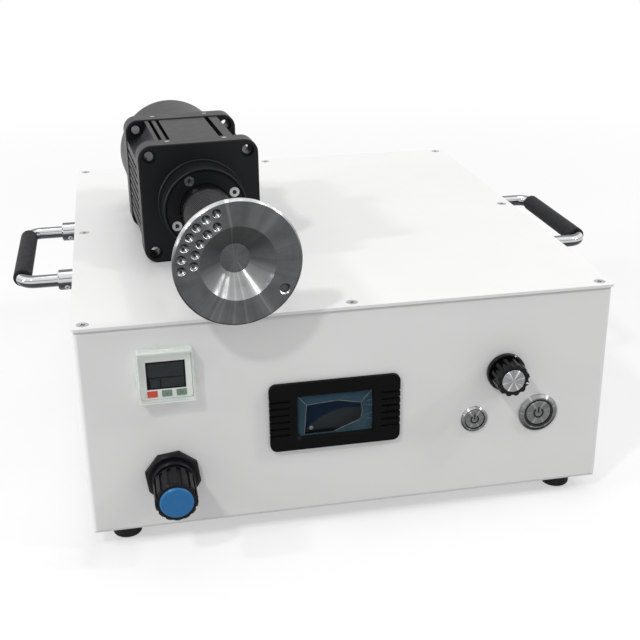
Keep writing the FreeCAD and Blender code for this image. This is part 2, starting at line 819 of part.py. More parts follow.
def side_handle(side, yaw, way):
    """Bend one handle's tube, and slide its grip on."""
    edge = f"{way} * case_width / 2"
    level = "base_z + handle_level"
    tube = piece(side + "_handle", edge, "middle_y", level, yaw, "0")
    path = sketch(tube)
    span, reach, bend = number("handle_span"), number("handle_reach"), number("handle_bend")
    half = span / 2
    turn = math.pi / 2
    near, far = V(reach - bend, bend - half, 0), V(reach - bend, half - bend, 0)
    corners = [
        Part.ArcOfCircle(Part.Circle(near, V(0, 0, 1), bend), -turn, 0),
        Part.ArcOfCircle(Part.Circle(far, V(0, 0, 1), bend), 0, turn),
    ]
    path.addGeometry(Part.LineSegment(V(0, -half, 0), corners[0].StartPoint), False)
    path.addGeometry(corners[0], False)
    path.addGeometry(Part.LineSegment(corners[0].EndPoint, corners[1].StartPoint), False)
    path.addGeometry(corners[1], False)
    path.addGeometry(Part.LineSegment(corners[1].EndPoint, V(0, half, 0)), False)
    for joint in range(4):
        place = (joint, 2, joint + 1, 1)
        path.addConstraint(Sketcher.Constraint("Tangent", *place))
    pin(path, 0, 1, "0", "-handle_span / 2")
    pin(path, 4, 2, "0", "handle_span / 2")
    pin(path, 1, 3, "handle_reach - handle_bend", "handle_bend - handle_span / 2")
    bind(path, "DistanceX", (-1, 1, 3, 3), "handle_reach - handle_bend")
    bind(path, "Radius", (1,), "handle_bend")
    bind(path, "Radius", (3,), "handle_bend")
    section = circle(sketch(tube, "0", "YZ_Plane"), "-handle_span / 2", "0", "handle_tube")
    sweep, before = started(tube, "AdditivePipe", "tube")
    sweep.Profile = section
    sweep.Spine = (path, [f"Edge{edge_number}" for edge_number in range(1, 6)])
    checked(tube, sweep, before, True)
    spigots = sketch(tube, "0", "YZ_Plane")
    circle(spigots, "-handle_span / 2", "0", "handle_spigot")
    circle(spigots, "handle_span / 2", "0", "handle_spigot")
    pad(tube, spigots, "spigot_length", reverse=True)
    grip = piece(side + "_grip", f"{way} * (case_width / 2 + handle_reach)", "middle_y", level)
    sleeve = circle(sketch(grip), "0", "0", "grip_width")
    circle(sleeve, "0", "0", "handle_tube")
    pad(grip, sleeve, "handle_span - 2 * handle_bend", middle=True)
    end = "handle_span / 2 - handle_bend"
    outer = of_radius("grip_width / 2")
    rims = level_edges(grip, end, outer) + level_edges(grip, f"-({end})", outer)
    eased(grip, rims, "(grip_width - handle_tube) / 4")


def handle_ferrules():
    """Turn the four collars that cover the handles' feet."""
    ferrules = piece("handle_ferrules", y="middle_y", z="base_z + handle_level", yaw="90",
                     group=True)
    for way, reverse in (("1", False), ("-1", True)):
        rings = sketch(ferrules, f"{way} * case_width / 2")
        for side in (-1, 1):
            circle(rings, f"{side} * handle_span / 2", "0", "ferrule_width")
            circle(rings, f"{side} * handle_span / 2", "0", "handle_tube")
        pad(ferrules, rings, "ferrule_length", reverse=reverse)
    end = "case_width / 2 + ferrule_length"
    outer = of_radius("ferrule_width / 2")
    rims = level_edges(ferrules, end, outer) + level_edges(ferrules, f"-({end})", outer)
    bevelled(ferrules, rims, "(ferrule_width - handle_tube) / 6")


def on_front(label, x, level, group=False):
    """Start a body on the front panel: its X runs right, its Y up and its Z forward."""
    return piece(label, x, "front_y", f"base_z + {level}", group=group)


def power_meter():
    """Mould the panel meter: housing, window, display module and key."""
    case = on_front("meter_bezel", "meter_x", "meter_level")
    pad(case, round_box(sketch(case), "meter_width", "meter_height", "meter_corner"),
        "meter_proud")
    eased(case, level_edges(case, "meter_proud"), "meter_proud / 5")
    pad(case, box_outline(sketch(case), "meter_body_width", "meter_body_height"),
        "meter_body_depth", reverse=True)
    inside = box_outline(sketch(case, "-meter_body_depth"), "meter_body_width - 2 * meter_wall",
                         "meter_body_height - 2 * meter_wall")
    cut(case, inside, "meter_body_depth - meter_wall", reverse=True)
    recess = box_outline(sketch(case, "meter_proud"), "window_width", "window_height")
    cut(case, recess, "window_recess + window_thickness")
    view = box_outline(sketch(case, "meter_proud"), "window_width - 2 * window_ledge",
                       "window_height - 2 * window_ledge")
    cut(case, view, "meter_proud + meter_wall")
    mouth = [name for name in level_edges(case, "meter_proud")
             if lower_edge(case, name, "window_height")]
    bevelled(case, mouth, "window_recess - fit_gap")
    groove = sketch(case, "meter_proud")
    place = "meter_width / 2 - groove_length / 2"
    low = f"-{(BEZEL_GROOVES - 1) / 2} * groove_pitch"
    box_outline(groove, "groove_length", "groove_width", place, low)
    box_outline(groove, "groove_length", "groove_width", f"-({place})", low)
    first = cut(case, groove, "groove_depth")
    in_line(case, first, "Y_Axis", "groove_pitch", BEZEL_GROOVES)
    notch = sketch(case, "meter_proud")
    side = "meter_width / 2 - groove_notch / 2"
    box_outline(notch, "groove_notch", "groove_width", side, low)
    box_outline(notch, "groove_notch", "groove_width", f"-({side})", low)
    through = cut(case, notch, "meter_proud")
    in_line(case, through, "Y_Axis", "groove_pitch", BEZEL_GROOVES)
    bore = circle(sketch(case, "meter_proud"), "meter_key_x", "0",
                  "meter_key_width + 2 * fit_gap")
    cut(case, bore, "meter_proud + meter_wall")
    window = on_front("meter_window", "meter_x", "meter_level")
    floor = "meter_proud - window_recess - window_thickness"
    pane = box_outline(sketch(window, floor), "window_width - 2 * fit_gap",
                       "window_height - 2 * fit_gap")
    pad(window, pane, "window_thickness")
    display = on_front("meter_display", "meter_x", "meter_level")
    glass = box_outline(sketch(display, "-meter_wall"), "window_width + 2 * glass_lap",
                        "window_height + 2 * glass_lap")
    pad(display, glass, "glass_thickness", reverse=True)
    card_width = "meter_body_width - 2 * meter_wall - 2 * fit_gap"
    card_height = "meter_body_height - 2 * meter_wall - 2 * fit_gap"
    card_level = "-meter_wall - glass_thickness"
    pad(display, box_outline(sketch(display, card_level), card_width, card_height),
        "board_thickness", reverse=True)
    blocks = sketch(display, f"{card_level} - board_thickness")
    for side in (-1, 1):
        box_outline(blocks, "meter_body_width / 4", "meter_body_height / 4",
                    f"{side} * meter_body_width / 4", "-meter_body_height / 5")
    pad(display, blocks, "meter_body_depth / 2", reverse=True)
    key = on_front("meter_key", "meter_x + meter_key_x", "meter_level")
    stem_foot = "meter_key_travel + run_gap - meter_wall - glass_thickness"
    turned(key, [("0", stem_foot), ("meter_key_width / 2", stem_foot),
                 ("meter_key_width / 2", "meter_proud + meter_key_travel"),
                 ("0", "meter_proud + meter_key_travel")])


def lower_edge(body, name, height):
    """Tell whether a named edge is the lower one of an opening of that height."""
    edge = body.Tip.Shape.getElement(name)
    return abs(edge.CenterOfMass.y + number(height) / 2) < 1e-4


def pressure_switch():
    """Mould the digital gas pressure switch with its keys and its clear cover."""
    body = on_front("switch_body", "switch_x", "switch_level")
    face = round_box(sketch(body), "switch_width", "switch_width", "switch_proud / 2")
    pad(body, face, "switch_proud")
    pad(body, box_outline(sketch(body), "switch_body_width", "switch_body_width"),
        "switch_depth", reverse=True)
    port = circle(sketch(body, "-switch_depth"), "0", "-switch_body_width / 5", "switch_port")
    pad(body, port, "switch_port_length", reverse=True)
    bore = circle(sketch(body, "-switch_depth - switch_port_length"), "0",
                  "-switch_body_width / 5", "switch_port / 2")
    cut(body, bore, "switch_port_length", reverse=True)
    seat = box_outline(sketch(body, "switch_proud"), "display_width + 2 * fit_gap",
                       "display_height + 2 * fit_gap")
    cut(body, seat, "display_thickness")
    wells = sketch(body, "switch_proud")
    for step in (-1, 0, 1):
        box_outline(wells, "key_width + 2 * fit_gap", "key_height + 2 * fit_gap",
                    f"{step} * key_pitch", "-key_drop")
    cut(body, wells, "key_thickness + key_travel + run_gap")
    display = on_front("switch_display", "switch_x", "switch_level")
    pad(display, box_outline(sketch(display, "switch_proud - display_thickness"),
                             "display_width", "display_height"), "display_thickness")
    for name, step in (("set", -1), ("up", 0), ("down", 1)):
        key = on_front("switch_key_" + name, f"switch_x + {step} * key_pitch",
                       "switch_level - key_drop")
        base = "switch_proud + key_proud - key_thickness"
        cap = round_box(sketch(key, base), "key_width", "key_height", "key_height / 6")
        pad(key, cap, "key_thickness")
        eased(key, level_edges(key, "switch_proud + key_proud"), "key_proud / 2")
    switch_cover()


def switch_cover():
    """Mould the clear cover that clips over the switch, with its notches and finger ears."""
    cover = on_front("switch_cover", "switch_x", "switch_level")
    shell = round_box(sketch(cover, "run_gap"), "cover_width", "cover_width", "cover_wall")
    pad(cover, shell, "cover_reach - run_gap")
    ears = sketch(cover, "run_gap")
    for side in (-1, 1):
        circle(ears, f"{side} * (cover_ear_reach - cover_ear_radius)", "-cover_ear_drop",
               "2 * cover_ear_radius")
    pad(cover, ears, "cover_wall")
    eased(cover, level_edges(cover, "cover_reach"), "cover_wall / 2")
    inside = box_outline(sketch(cover, "run_gap"), "cover_width - 2 * cover_wall",
                         "cover_width - 2 * cover_wall")
    cut(cover, inside, "cover_reach - run_gap - cover_wall", reverse=True)
    notches = sketch(cover, "run_gap")
    for side in (-1, 1):
        box_outline(notches, "cover_notch_width", "2 * cover_wall + run_gap", "0",
                    f"{side} * (cover_width / 2 - cover_wall / 2)")
    cut(cover, notches, "cover_notch_depth", reverse=True)


def push_button(name, x, head, barrel, cap, proud, depth, travel):
    """Turn one panel push button: a flanged barrel and the cap that slides in it."""
    body = on_front(name + "_body", x, "button_level")
    seat = f"{proud} - cap_sink - cap_thickness - {travel} - run_gap"
    stem_end = f"{seat} - {travel} - cap_stem / 2 - run_gap"
    bore = f"({cap} + 2 * fit_gap) / 2"
    guide = "(cap_stem + 2 * fit_gap) / 2"
    turned(body, [
        ("0", f"-{depth}"), (f"{barrel} / 2", f"-{depth}"), (f"{barrel} / 2", "0"),
        (f"{head} / 2", "0"), (f"{head} / 2", f"{proud} / 2"),
        (f"({head} + {cap}) / 4", proud), (bore, proud), (bore, seat), (guide, seat),
        (guide, stem_end), ("0", stem_end)])
    button = on_front(name + "_cap", x, "button_level")
    top = f"{proud} - cap_sink"
    under = f"{top} - cap_thickness"
    foot = f"{seat} - cap_stem / 2"
    dish = f"{cap} / 2 - cap_thickness / 4"
    turned(button, [
        ("0", foot), ("cap_stem / 2", foot), ("cap_stem / 2", under), (f"{cap} / 2", under),
        (f"{cap} / 2", f"{top} - cap_thickness / 4"), (dish, top), ("0", top)])


def panel_nuts():
    """Cut the hexagon nuts that hold the buttons and the power control."""
    nuts = on_front("panel_nuts", "0", "0", group=True)
    behind = sketch(nuts, "-sheet_wall")
    polygon(behind, "start_nut_flats", 6, 0, "start_x", "button_level")
    circle(behind, "start_x", "button_level", "start_barrel")
    polygon(behind, "power_nut_flats", 6, 0, "power_button_x", "button_level")
    circle(behind, "power_button_x", "button_level", "power_button_barrel")
    pad(nuts, behind, "button_nut_thickness", reverse=True)
    front = polygon(sketch(nuts), "pot_nut_flats", 6, 30, "knob_x", "knob_level")
    circle(front, "knob_x", "knob_level", "pot_bush")
    pad(nuts, front, "pot_nut_thickness")


def power_control():
    """Build the power control: potentiometer, shaft, fluted knob and its turned cap."""
    pot = on_front("power_pot", "knob_x", "knob_level")
    bore = "pot_shaft / 2 + running_fit"
    can_front = "-sheet_wall"
    can_rear = "-sheet_wall - pot_depth"
    sink = "-sheet_wall - pot_depth / 2"
    turned(pot, [
        ("0", can_rear), ("pot_width / 2", can_rear), ("pot_width / 2", can_front),
        ("pot_bush / 2", can_front), ("pot_bush / 2", "pot_bush_reach"),
        (bore, "pot_bush_reach"), (bore, sink), ("0", sink)])
    lugs = sketch(pot, "-sheet_wall - pot_depth / 2")
    for step in (-1, 0, 1):
        box_outline(lugs, "lug_width", "pot_width / 2", f"{step} * pot_width / 4",
                    "-pot_width / 2")
    pad(pot, lugs, "lug_thickness", reverse=True)
    shaft = on_front("pot_shaft", "knob_x", "knob_level")
    foot = "fit_gap - sheet_wall - pot_depth / 2"
    top = "knob_height + knob_lift - knob_cap_thickness - fit_gap"
    turned(shaft, [("0", foot), ("pot_shaft / 2", foot), ("pot_shaft / 2", top), ("0", top)])
    knob = on_front("power_knob", "knob_x", "knob_level")
    crown = "knob_lift + knob_height"
    seat = "knob_lift + knob_height - knob_cap_thickness + knob_cap_proud"
    hollow = "knob_lift + knob_hollow_depth"
    step = "knob_lift + knob_skirt_height"
    turned(knob, [
        ("knob_hollow / 2", "knob_lift"), ("knob_skirt / 2", "knob_lift"),
        ("knob_skirt / 2", f"{step} - small_bevel"), ("knob_skirt / 2 - small_bevel", step),
        ("knob_top / 2 + knob_draft", step), ("knob_top / 2", crown), ("knob_cap / 2", crown),
        ("knob_cap / 2", seat), ("pot_shaft / 2", seat), ("pot_shaft / 2", hollow),
        ("knob_hollow / 2", hollow)])
    scallop = circle(sketch(knob, crown), "knob_top / 2 + knob_scallop / 2", "0",
                     "2 * knob_scallop")
    flute = cut(knob, scallop, "knob_height - knob_skirt_height")
    around(knob, flute, POWER_KNOB_FLUTES)
    cap = on_front("power_knob_cap", "knob_x", "knob_level")
    face = f"{seat} + knob_cap_thickness"
    turned(cap, [("0", seat), ("knob_cap / 2", seat), ("knob_cap / 2", f"{face} - fit_gap"),
                 ("knob_cap / 2 - fit_gap", face), ("0", face)])


def gas_regulator():
    """Build the panel regulator: bonnet and block, nut, spindle, fluted knob and blue cap."""
    body = on_front("regulator_body", "regulator_x", "regulator_level")
    bore = "spindle_width / 2 + running_fit"
    block = "-sheet_wall - regulator_block_start"
    turned(body, [
        ("0", block), ("regulator_block / 2 - wide_bevel", block),
        ("bonnet_shoulder / 2", "-sheet_wall - regulator_block_start / 2"),
        ("bonnet_shoulder / 2", "-sheet_wall"), ("bonnet_width / 2", "-sheet_wall"),
        ("bonnet_width / 2", "bonnet_reach - wide_bevel"),
        ("bonnet_width / 2 - wide_bevel", "bonnet_reach"),
        ("bonnet_neck / 2", "bonnet_reach"), ("bonnet_neck / 2", "neck_reach"),
        (bore, "neck_reach"), (bore, "-spindle_sink"), ("0", "-spindle_sink")])
    pad(body, round_box(sketch(body, block), "regulator_block", "regulator_block",
                        "regulator_block / 10"), "regulator_block_depth", reverse=True)
    middle = f"{block} - regulator_block_depth / 2"
    ports = sketch(body, "0", "YZ_Plane")
    circle(ports, "0", middle, "regulator_port")
    cut(body, ports, "2 * regulator_block", middle=True)
    bowl = circle(sketch(body, "regulator_block / 2", "XZ_Plane"), "0", middle,
                  "regulator_bowl")
    pad(body, bowl, "regulator_bowl_depth / 2")
    nut = on_front("regulator_nut", "regulator_x", "regulator_level")
    ring = polygon(sketch(nut), "panel_nut_flats", 8, 30)
    circle(ring, "0", "0", "bonnet_width")
    pad(nut, ring, "panel_nut_thickness")
    corner = f"panel_nut_flats / 2 / cos({180 / 8}) + fit_gap"
    grooved(nut, [("panel_nut_crown / 2", "panel_nut_thickness"),
                  (corner, "panel_nut_thickness / 2"), (corner, "panel_nut_thickness")])
    spindle = on_front("regulator_spindle", "regulator_x", "regulator_level")
    foot = "fit_gap - spindle_sink"
    turned(spindle, [
        ("0", foot), ("spindle_width / 2", foot),
        ("spindle_width / 2", "spindle_reach - small_bevel"),
        ("spindle_width / 2 - small_bevel", "spindle_reach"), ("0", "spindle_reach")])
    knob = on_front("regulator_knob", "regulator_x", "regulator_level")
    start = "neck_reach + gas_knob_gap"
    front = "regulator_reach - gas_cap_proud"
    seat = "regulator_reach - gas_cap_thickness"
    sleeve = "spindle_width / 2 + running_fit"
    wide = "gas_knob_width / 2"
    turned(knob, [
        (sleeve, start), (f"{wide} - wide_bevel", start), (wide, f"{start} + wide_bevel"),
        (wide, f"{front} - wide_bevel"), (f"{wide} - wide_bevel", front),
        ("gas_cap_width / 2", front),
        ("gas_cap_width / 2", seat), (sleeve, seat)])
    hollow = f"{wide} - gas_knob_rim - gas_knob_flute"
    flute = cut(knob, box_outline(sketch(knob, front), "2 * gas_knob_flute", "gas_knob_groove",
                                  wide), f"{front} - ({start}) - gas_knob_rim")
    around(knob, flute, GAS_KNOB_FLUTES)
    grooved(knob, [(hollow, start), (hollow, f"{start} + gas_knob_rim"),
                   (f"{sleeve} + 2 * gas_knob_rim", f"{start} + gas_knob_rim"),
                   (f"{sleeve} + 2 * gas_knob_rim", start)])
    cap = on_front("regulator_cap", "regulator_x", "regulator_level")
    turned(cap, [
        ("0", seat), ("gas_cap_width / 2", seat),
        ("gas_cap_width / 2", "regulator_reach - wide_bevel"),
        ("gas_cap_width / 2 - wide_bevel", "regulator_reach"), ("0", "regulator_reach")])


def on_head(label, group=False):
    """Start a body on the head's axis: its Z runs forward out of the front flange."""
    return piece(label, "head_x", "head_y", "head_z", "head_turn", group=group)


def flange(label, front, depth):
    """Mill one square flange with its bearing seat and its corner holes."""
    plate = on_head(label)
    pad(plate, round_box(sketch(plate, front), "head_width", "head_width", "head_corner"),
        depth, reverse=True)
    eased(plate, level_edges(plate, front), "head_corner / 10")
    return plate


def corner_holes(plate, front):
    """Drill the four corner holes, with a shallow counterbore on the front."""
    places = [(x, y) for x in (-1, 1) for y in (-1, 1)]
    holes = sketch(plate, front)
    sinks = sketch(plate, front)
    for x, y in places:
        middle = (f"{x} * flange_hole_offset", f"{y} * flange_hole_offset")
        circle(holes, *middle, "flange_hole")
        circle(sinks, *middle, "flange_counterbore")
    cut(plate, holes, "housing_rear")
    cut(plate, sinks, "flange_counterbore_depth")


def head_housing():
    """Build the head's housing: two flanges, the finned barrel between them, the rear cover."""
    front = flange("head_front_flange", "0", "front_flange")
    pad(front, circle(sketch(front), "0", "0", "pilot_width"), "pilot_proud")
    bevelled(front, level_edges(front, "pilot_proud"), "small_bevel")
    seat = circle(sketch(front, "pilot_proud"), "0", "0", "bearing_width")
    cut(front, seat, "pilot_proud + front_flange")
    threads = cap_screw_places(sketch(front, "pilot_proud"), "cap_screw_shank")
    cut(front, threads, "cap_screw_length - bearing_cap_face + 2 * pilot_proud")
    corner_holes(front, "0")
    side_screw_holes(front, "flange_screw_setback")
    rear = flange("head_rear_flange", "-barrel_rear", "rear_flange")
    seat = circle(sketch(rear, "-barrel_rear"), "0", "0", "bearing_width")
    cut(rear, seat, "rear_flange")
    corner_holes(rear, "-barrel_rear")
    side_screw_holes(rear, "barrel_rear + flange_screw_setback")
    barrel = on_head("head_barrel")
    block = box_outline(sketch(barrel, "-barrel_rear"), "barrel_width", "barrel_width")
    pad(barrel, block, "flange_gap")
    scoop = circle(sketch(barrel, "-front_flange"), "scoop_offset", "scoop_offset",
                   "2 * scoop_radius")
    corner = cut(barrel, scoop, "flange_gap")
    around(barrel, corner, 4)
    inside = circle(sketch(barrel, "-front_flange"), "0", "0", "barrel_bore")
    cut(barrel, inside, "flange_gap")
    slots = sketch(barrel, "-front_flange")
    edge = "barrel_width / 2 - slot_depth / 2"
    for level in (-1, 1):
        row = f"{level} * ({edge})"
        box_outline(slots, "top_slot_width", "slot_depth", "-top_slot_left", row)
        box_outline(slots, "top_slot_width", "slot_depth", "top_slot_pitch - top_slot_left", row)
        box_outline(slots, "right_slot_width", "slot_depth", "top_slot_right", row)
    cut(barrel, slots, "flange_gap")
    fins = sketch(barrel, "-front_flange")
    for side in (-1, 1):
        box_outline(fins, "slot_depth", "side_slot_width", f"{side} * ({edge})",
                    f"-{(SIDE_FINS - 1) / 2} * side_slot_pitch")
    first = cut(barrel, fins, "flange_gap")
    in_line(barrel, first, "Y_Axis", "side_slot_pitch", SIDE_FINS)
    rear_cover()
    screws = piece("flange_screws", "head_x", "head_y", "head_z", "head_turn", "0", group=True)
    top = "head_width / 2 - fit_gap"
    drawing = sketch(screws, top)
    for x in ("-flange_screw_offset", "flange_screw_offset"):
        for setback in ("flange_screw_setback", "barrel_rear + flange_screw_setback"):
            circle(drawing, x, setback, "flange_screw")
    pad(screws, drawing, "flange_screw_length", reverse=True)


def side_screw_holes(plate, setback):
    """Tap the two holes in a flange's top edge."""
    holes = sketch(plate, "-head_width / 2", "XZ_Plane")
    circle(holes, "-flange_screw_offset", f"-({setback})", "flange_screw")
    circle(holes, "flange_screw_offset", f"-({setback})", "flange_screw")
    cut(plate, holes, "flange_screw_length + fit_gap", reverse=True)


def rear_cover():
    """Turn the round rear cover, a cup with a boss that holds the electrode."""
    cover = on_head("head_rear_cover")
    wide = "rear_cover_width / 2"
    inner = "rear_cover_width / 2 - rear_cover_wall"
    floor = "rear_cover_wall - cover_rear"
    boss = f"{floor} + rear_boss_length"
    rod = "electrode_rod / 2"
    turned(cover, [
        ("0", "-cover_rear"), (f"{wide} - rear_cover_bevel", "-cover_rear"),
        (wide, "rear_cover_bevel - cover_rear"),
        (wide, "-housing_rear"), (inner, "-housing_rear"), (inner, floor),
        ("rear_boss / 2", floor), ("rear_boss / 2", boss), (rod, boss), (rod, floor),
        ("0", floor)])
    ports = sketch(cover, floor)
    circle(ports, "-head_port_offset", "0", "gland_bore")
    circle(ports, "head_port_offset", "0", "gland_bore")
    cut(cover, ports, "rear_cover_wall")


def cap_screw_places(drawing, width):
    """Draw a circle at each of the bearing cap's four screws."""
    for quarter in range(4):
        angle = f"(cap_screw_angle + {90 * quarter})"
        circle(drawing, f"cap_screw_radius * cos({angle})", f"cap_screw_radius * sin({angle})",
               width)
    return drawing


def bearing_cap():
    """Turn the bearing cap with its sunk screw heads, and its four socket screws."""
    cap = on_head("head_bearing_cap")
    wide = "bearing_cap_width / 2"
    face = "bearing_cap_face"
    rim = "bearing_cap_face + bearing_cap_rim"
    collar = "collar_width / 2 + run_gap"
    turned(cap, [
        ("shaft_width / 2 + run_gap", "pilot_proud"), (wide, "pilot_proud"),
        (wide, f"{rim} - small_bevel"), (f"{wide} - small_bevel", rim),
        (f"{wide} - bearing_cap_lip", rim), (f"{wide} - bearing_cap_lip - wide_bevel", face),
        (collar, face), (collar, "bearing_cap_floor + pilot_proud"),
        ("shaft_width / 2 + run_gap", "bearing_cap_floor + pilot_proud")])
    cut(cap, cap_screw_places(sketch(cap, face), "cap_screw_shank + screw_clearance"), face)
    cut(cap, cap_screw_places(sketch(cap, face), "cap_screw_head + screw_clearance"),
        "cap_screw_head_height + fit_gap")
    screws = on_head("bearing_cap_screws", group=True)
    head_top = "bearing_cap_face - fit_gap"
    pad(screws, cap_screw_places(sketch(screws, head_top), "cap_screw_head"),
        "cap_screw_head_height", reverse=True)
    under = f"{head_top} - cap_screw_head_height"
    pad(screws, cap_screw_places(sketch(screws, under), "cap_screw_shank"),
        "cap_screw_length - cap_screw_head_height", reverse=True)
    sockets = sketch(screws, head_top)
    for quarter in range(4):
        angle = f"(cap_screw_angle + {90 * quarter})"
        polygon(sockets, "cap_screw_socket", 6, 0, f"cap_screw_radius * cos({angle})",
                f"cap_screw_radius * sin({angle})")
    cut(screws, sockets, "cap_screw_head_height / 2")


def head_drive():
    """Build what turns the nozzle: two ball bearings and the motor's stator."""
    bearings = on_head("head_bearings", group=True)
    for front in ("pilot_proud - bearing_sink - fit_gap",
                  "-barrel_rear - bearing_sink - fit_gap"):
        races = circle(sketch(bearings, front), "0", "0", "bearing_width")
        circle(races, "0", "0", "shaft_width + 2 * running_fit")
        pad(bearings, races, "bearing_length", reverse=True)
    stator = on_head("motor_stator")
    start = "-front_flange - (flange_gap - stator_length) / 2"
    core = circle(sketch(stator, start), "0", "0", "barrel_bore")
    circle(core, "0", "0", "stator_bore")
    pad(stator, core, "stator_length", reverse=True)
    tooth = box_outline(sketch(stator, start), "stator_slot_depth", "stator_slot_width",
                        "stator_bore / 2")
    slot = cut(stator, tooth, "stator_length")
    around(stator, slot, STATOR_SLOTS)


def nozzle():
    """Turn the rotating nozzle: hollow shaft with rotor, dished disc and outlet insert."""
    shaft = on_head("nozzle_shaft")
    rotor_front = "-front_flange - (flange_gap - rotor_length) / 2"
    rotor_rear = f"{rotor_front} - rotor_length"
    thin = "shaft_width / 2"
    collar_rear = "bearing_cap_floor + pilot_proud + run_gap"
    turned(shaft, [
        ("shaft_bore / 2", "-shaft_rear"), (thin, "-shaft_rear"), (thin, rotor_rear),
        ("rotor_width / 2", rotor_rear), ("rotor_width / 2", rotor_front), (thin, rotor_front),
        (thin, collar_rear), ("collar_width / 2", collar_rear),
        ("collar_width / 2", "collar_front - small_bevel"),
        ("collar_width / 2 - small_bevel", "collar_front"),
        ("neck_width / 2", "collar_front"), ("neck_width / 2", "neck_front"),
        ("0", "neck_front"), ("0", "shaft_bore_front"), ("shaft_bore / 2", "shaft_bore_front")])
    disc = on_head("nozzle_disc")
    wide = "disc_width / 2"
    rear = "disc_face - disc_rim"
    turned(disc, [
        ("0", "neck_front"), ("neck_width / 2", "neck_front"),
        ("neck_width / 2 + disc_bevel", "neck_front + disc_bevel"),
        ("hub_spread / 2", f"{rear} - disc_bevel / 2"), (f"{wide} - disc_bevel", rear),
        (wide, f"{rear} + disc_bevel"),
        (wide, "disc_face - disc_bevel"), (f"{wide} - disc_bevel", "disc_face"),
        ("cone_width / 2", "disc_face"), ("hub_width / 2", "hub_face"), ("0", "hub_face")])
    holes = sketch(disc, "disc_face")
    balance_row(holes, "outer_hole_radius", "outer_hole_start", "outer_hole_step", OUTER_HOLES)
    balance_row(holes, "inner_hole_radius", "inner_hole_start", "inner_hole_step", INNER_HOLES)
    cut(disc, holes, "balance_hole_depth")
    points = level_edges(disc, "disc_face - balance_hole_depth", of_radius("balance_hole / 2"))
    bevelled(disc, points, "drill_point")
    rims = level_edges(disc, "disc_face", of_radius("balance_hole / 2"))
    bevelled(disc, rims, "balance_hole_bevel")
    outlet = ("outlet_radius * cos(outlet_angle)", "outlet_radius * sin(outlet_angle)")
    recess = circle(sketch(disc, "disc_face"), *outlet, "outlet_recess")
    cut(disc, recess, "outlet_depth")
    tip = on_head("nozzle_tip")
    ring = circle(sketch(tip, "disc_face - outlet_depth"), *outlet, "outlet_recess")
    circle(ring, *outlet, "outlet_bore")
    pad(tip, ring, "outlet_depth - fit_gap")
    mouth = level_edges(tip, "disc_face - fit_gap", of_radius("outlet_bore / 2"))
    bevelled(tip, mouth, "(outlet_recess - outlet_bore) / 6")


def balance_row(drawing, radius, start, step, count):
    """Draw one arc of the disc's drilled balance holes."""
    for hole in range(count):
        angle = f"({start} + {hole} * {step})"
        circle(drawing, f"{radius} * cos({angle})", f"{radius} * sin({angle})", "balance_hole")


def electrode():
    """Turn the fixed electrode, a rod in its ceramic tube inside the hollow shaft."""
    part = on_head("electrode")
    rod = "electrode_rod / 2"
    tube = "insulator_width / 2"
    turned(part, [
        ("0", "rear_cover_wall - cover_rear"), (rod, "rear_cover_wall - cover_rear"),
        (rod, "-insulator_rear"), (tube, "-insulator_rear"), (tube, "insulator_front"),
        (rod, "insulator_front"), (rod, "electrode_front - wide_bevel"),
        ("0", "electrode_front")])


def head_ports():
    """Turn the cable gland and the gas nipple at the head's rear."""
    for label, way, reach, bore in (
            ("head_cable_gland", "-1", "gland_reach", "gland_bore"),
            ("head_gas_nipple", "1", "head_nipple_reach", "head_nipple_bore")):
        port = on_head(label)
        x = f"{way} * head_port_offset"
        base = polygon(sketch(port, "-cover_rear"), "gland_flats", 6, 30, x)
        circle(base, x, "0", bore)
        pad(port, base, f"{reach} / 3", reverse=True)
        barrel = circle(sketch(port, f"-cover_rear - {reach} / 3"), x, "0", "gland_cap")
        circle(barrel, x, "0", bore)
        pad(port, barrel, f"{reach} * 2 / 3", reverse=True)
        outer = of_radius("gland_cap / 2")
        bevelled(port, level_edges(port, f"-cover_rear - {reach}", outer), "gland_bevel")
        if bore != "gland_bore":
            stem = circle(sketch(port, "-cover_rear"), x, "0", "gland_bore")
            circle(stem, x, "0", bore)
            pad(port, stem, "rear_cover_wall")


def on_rear(label, x, level, group=False):
    """Start a body on the rear panel: its X runs to the case's left, its Z to the rear."""
    return piece(label, x, "rear_y", f"base_z + {level}", "180", group=group)


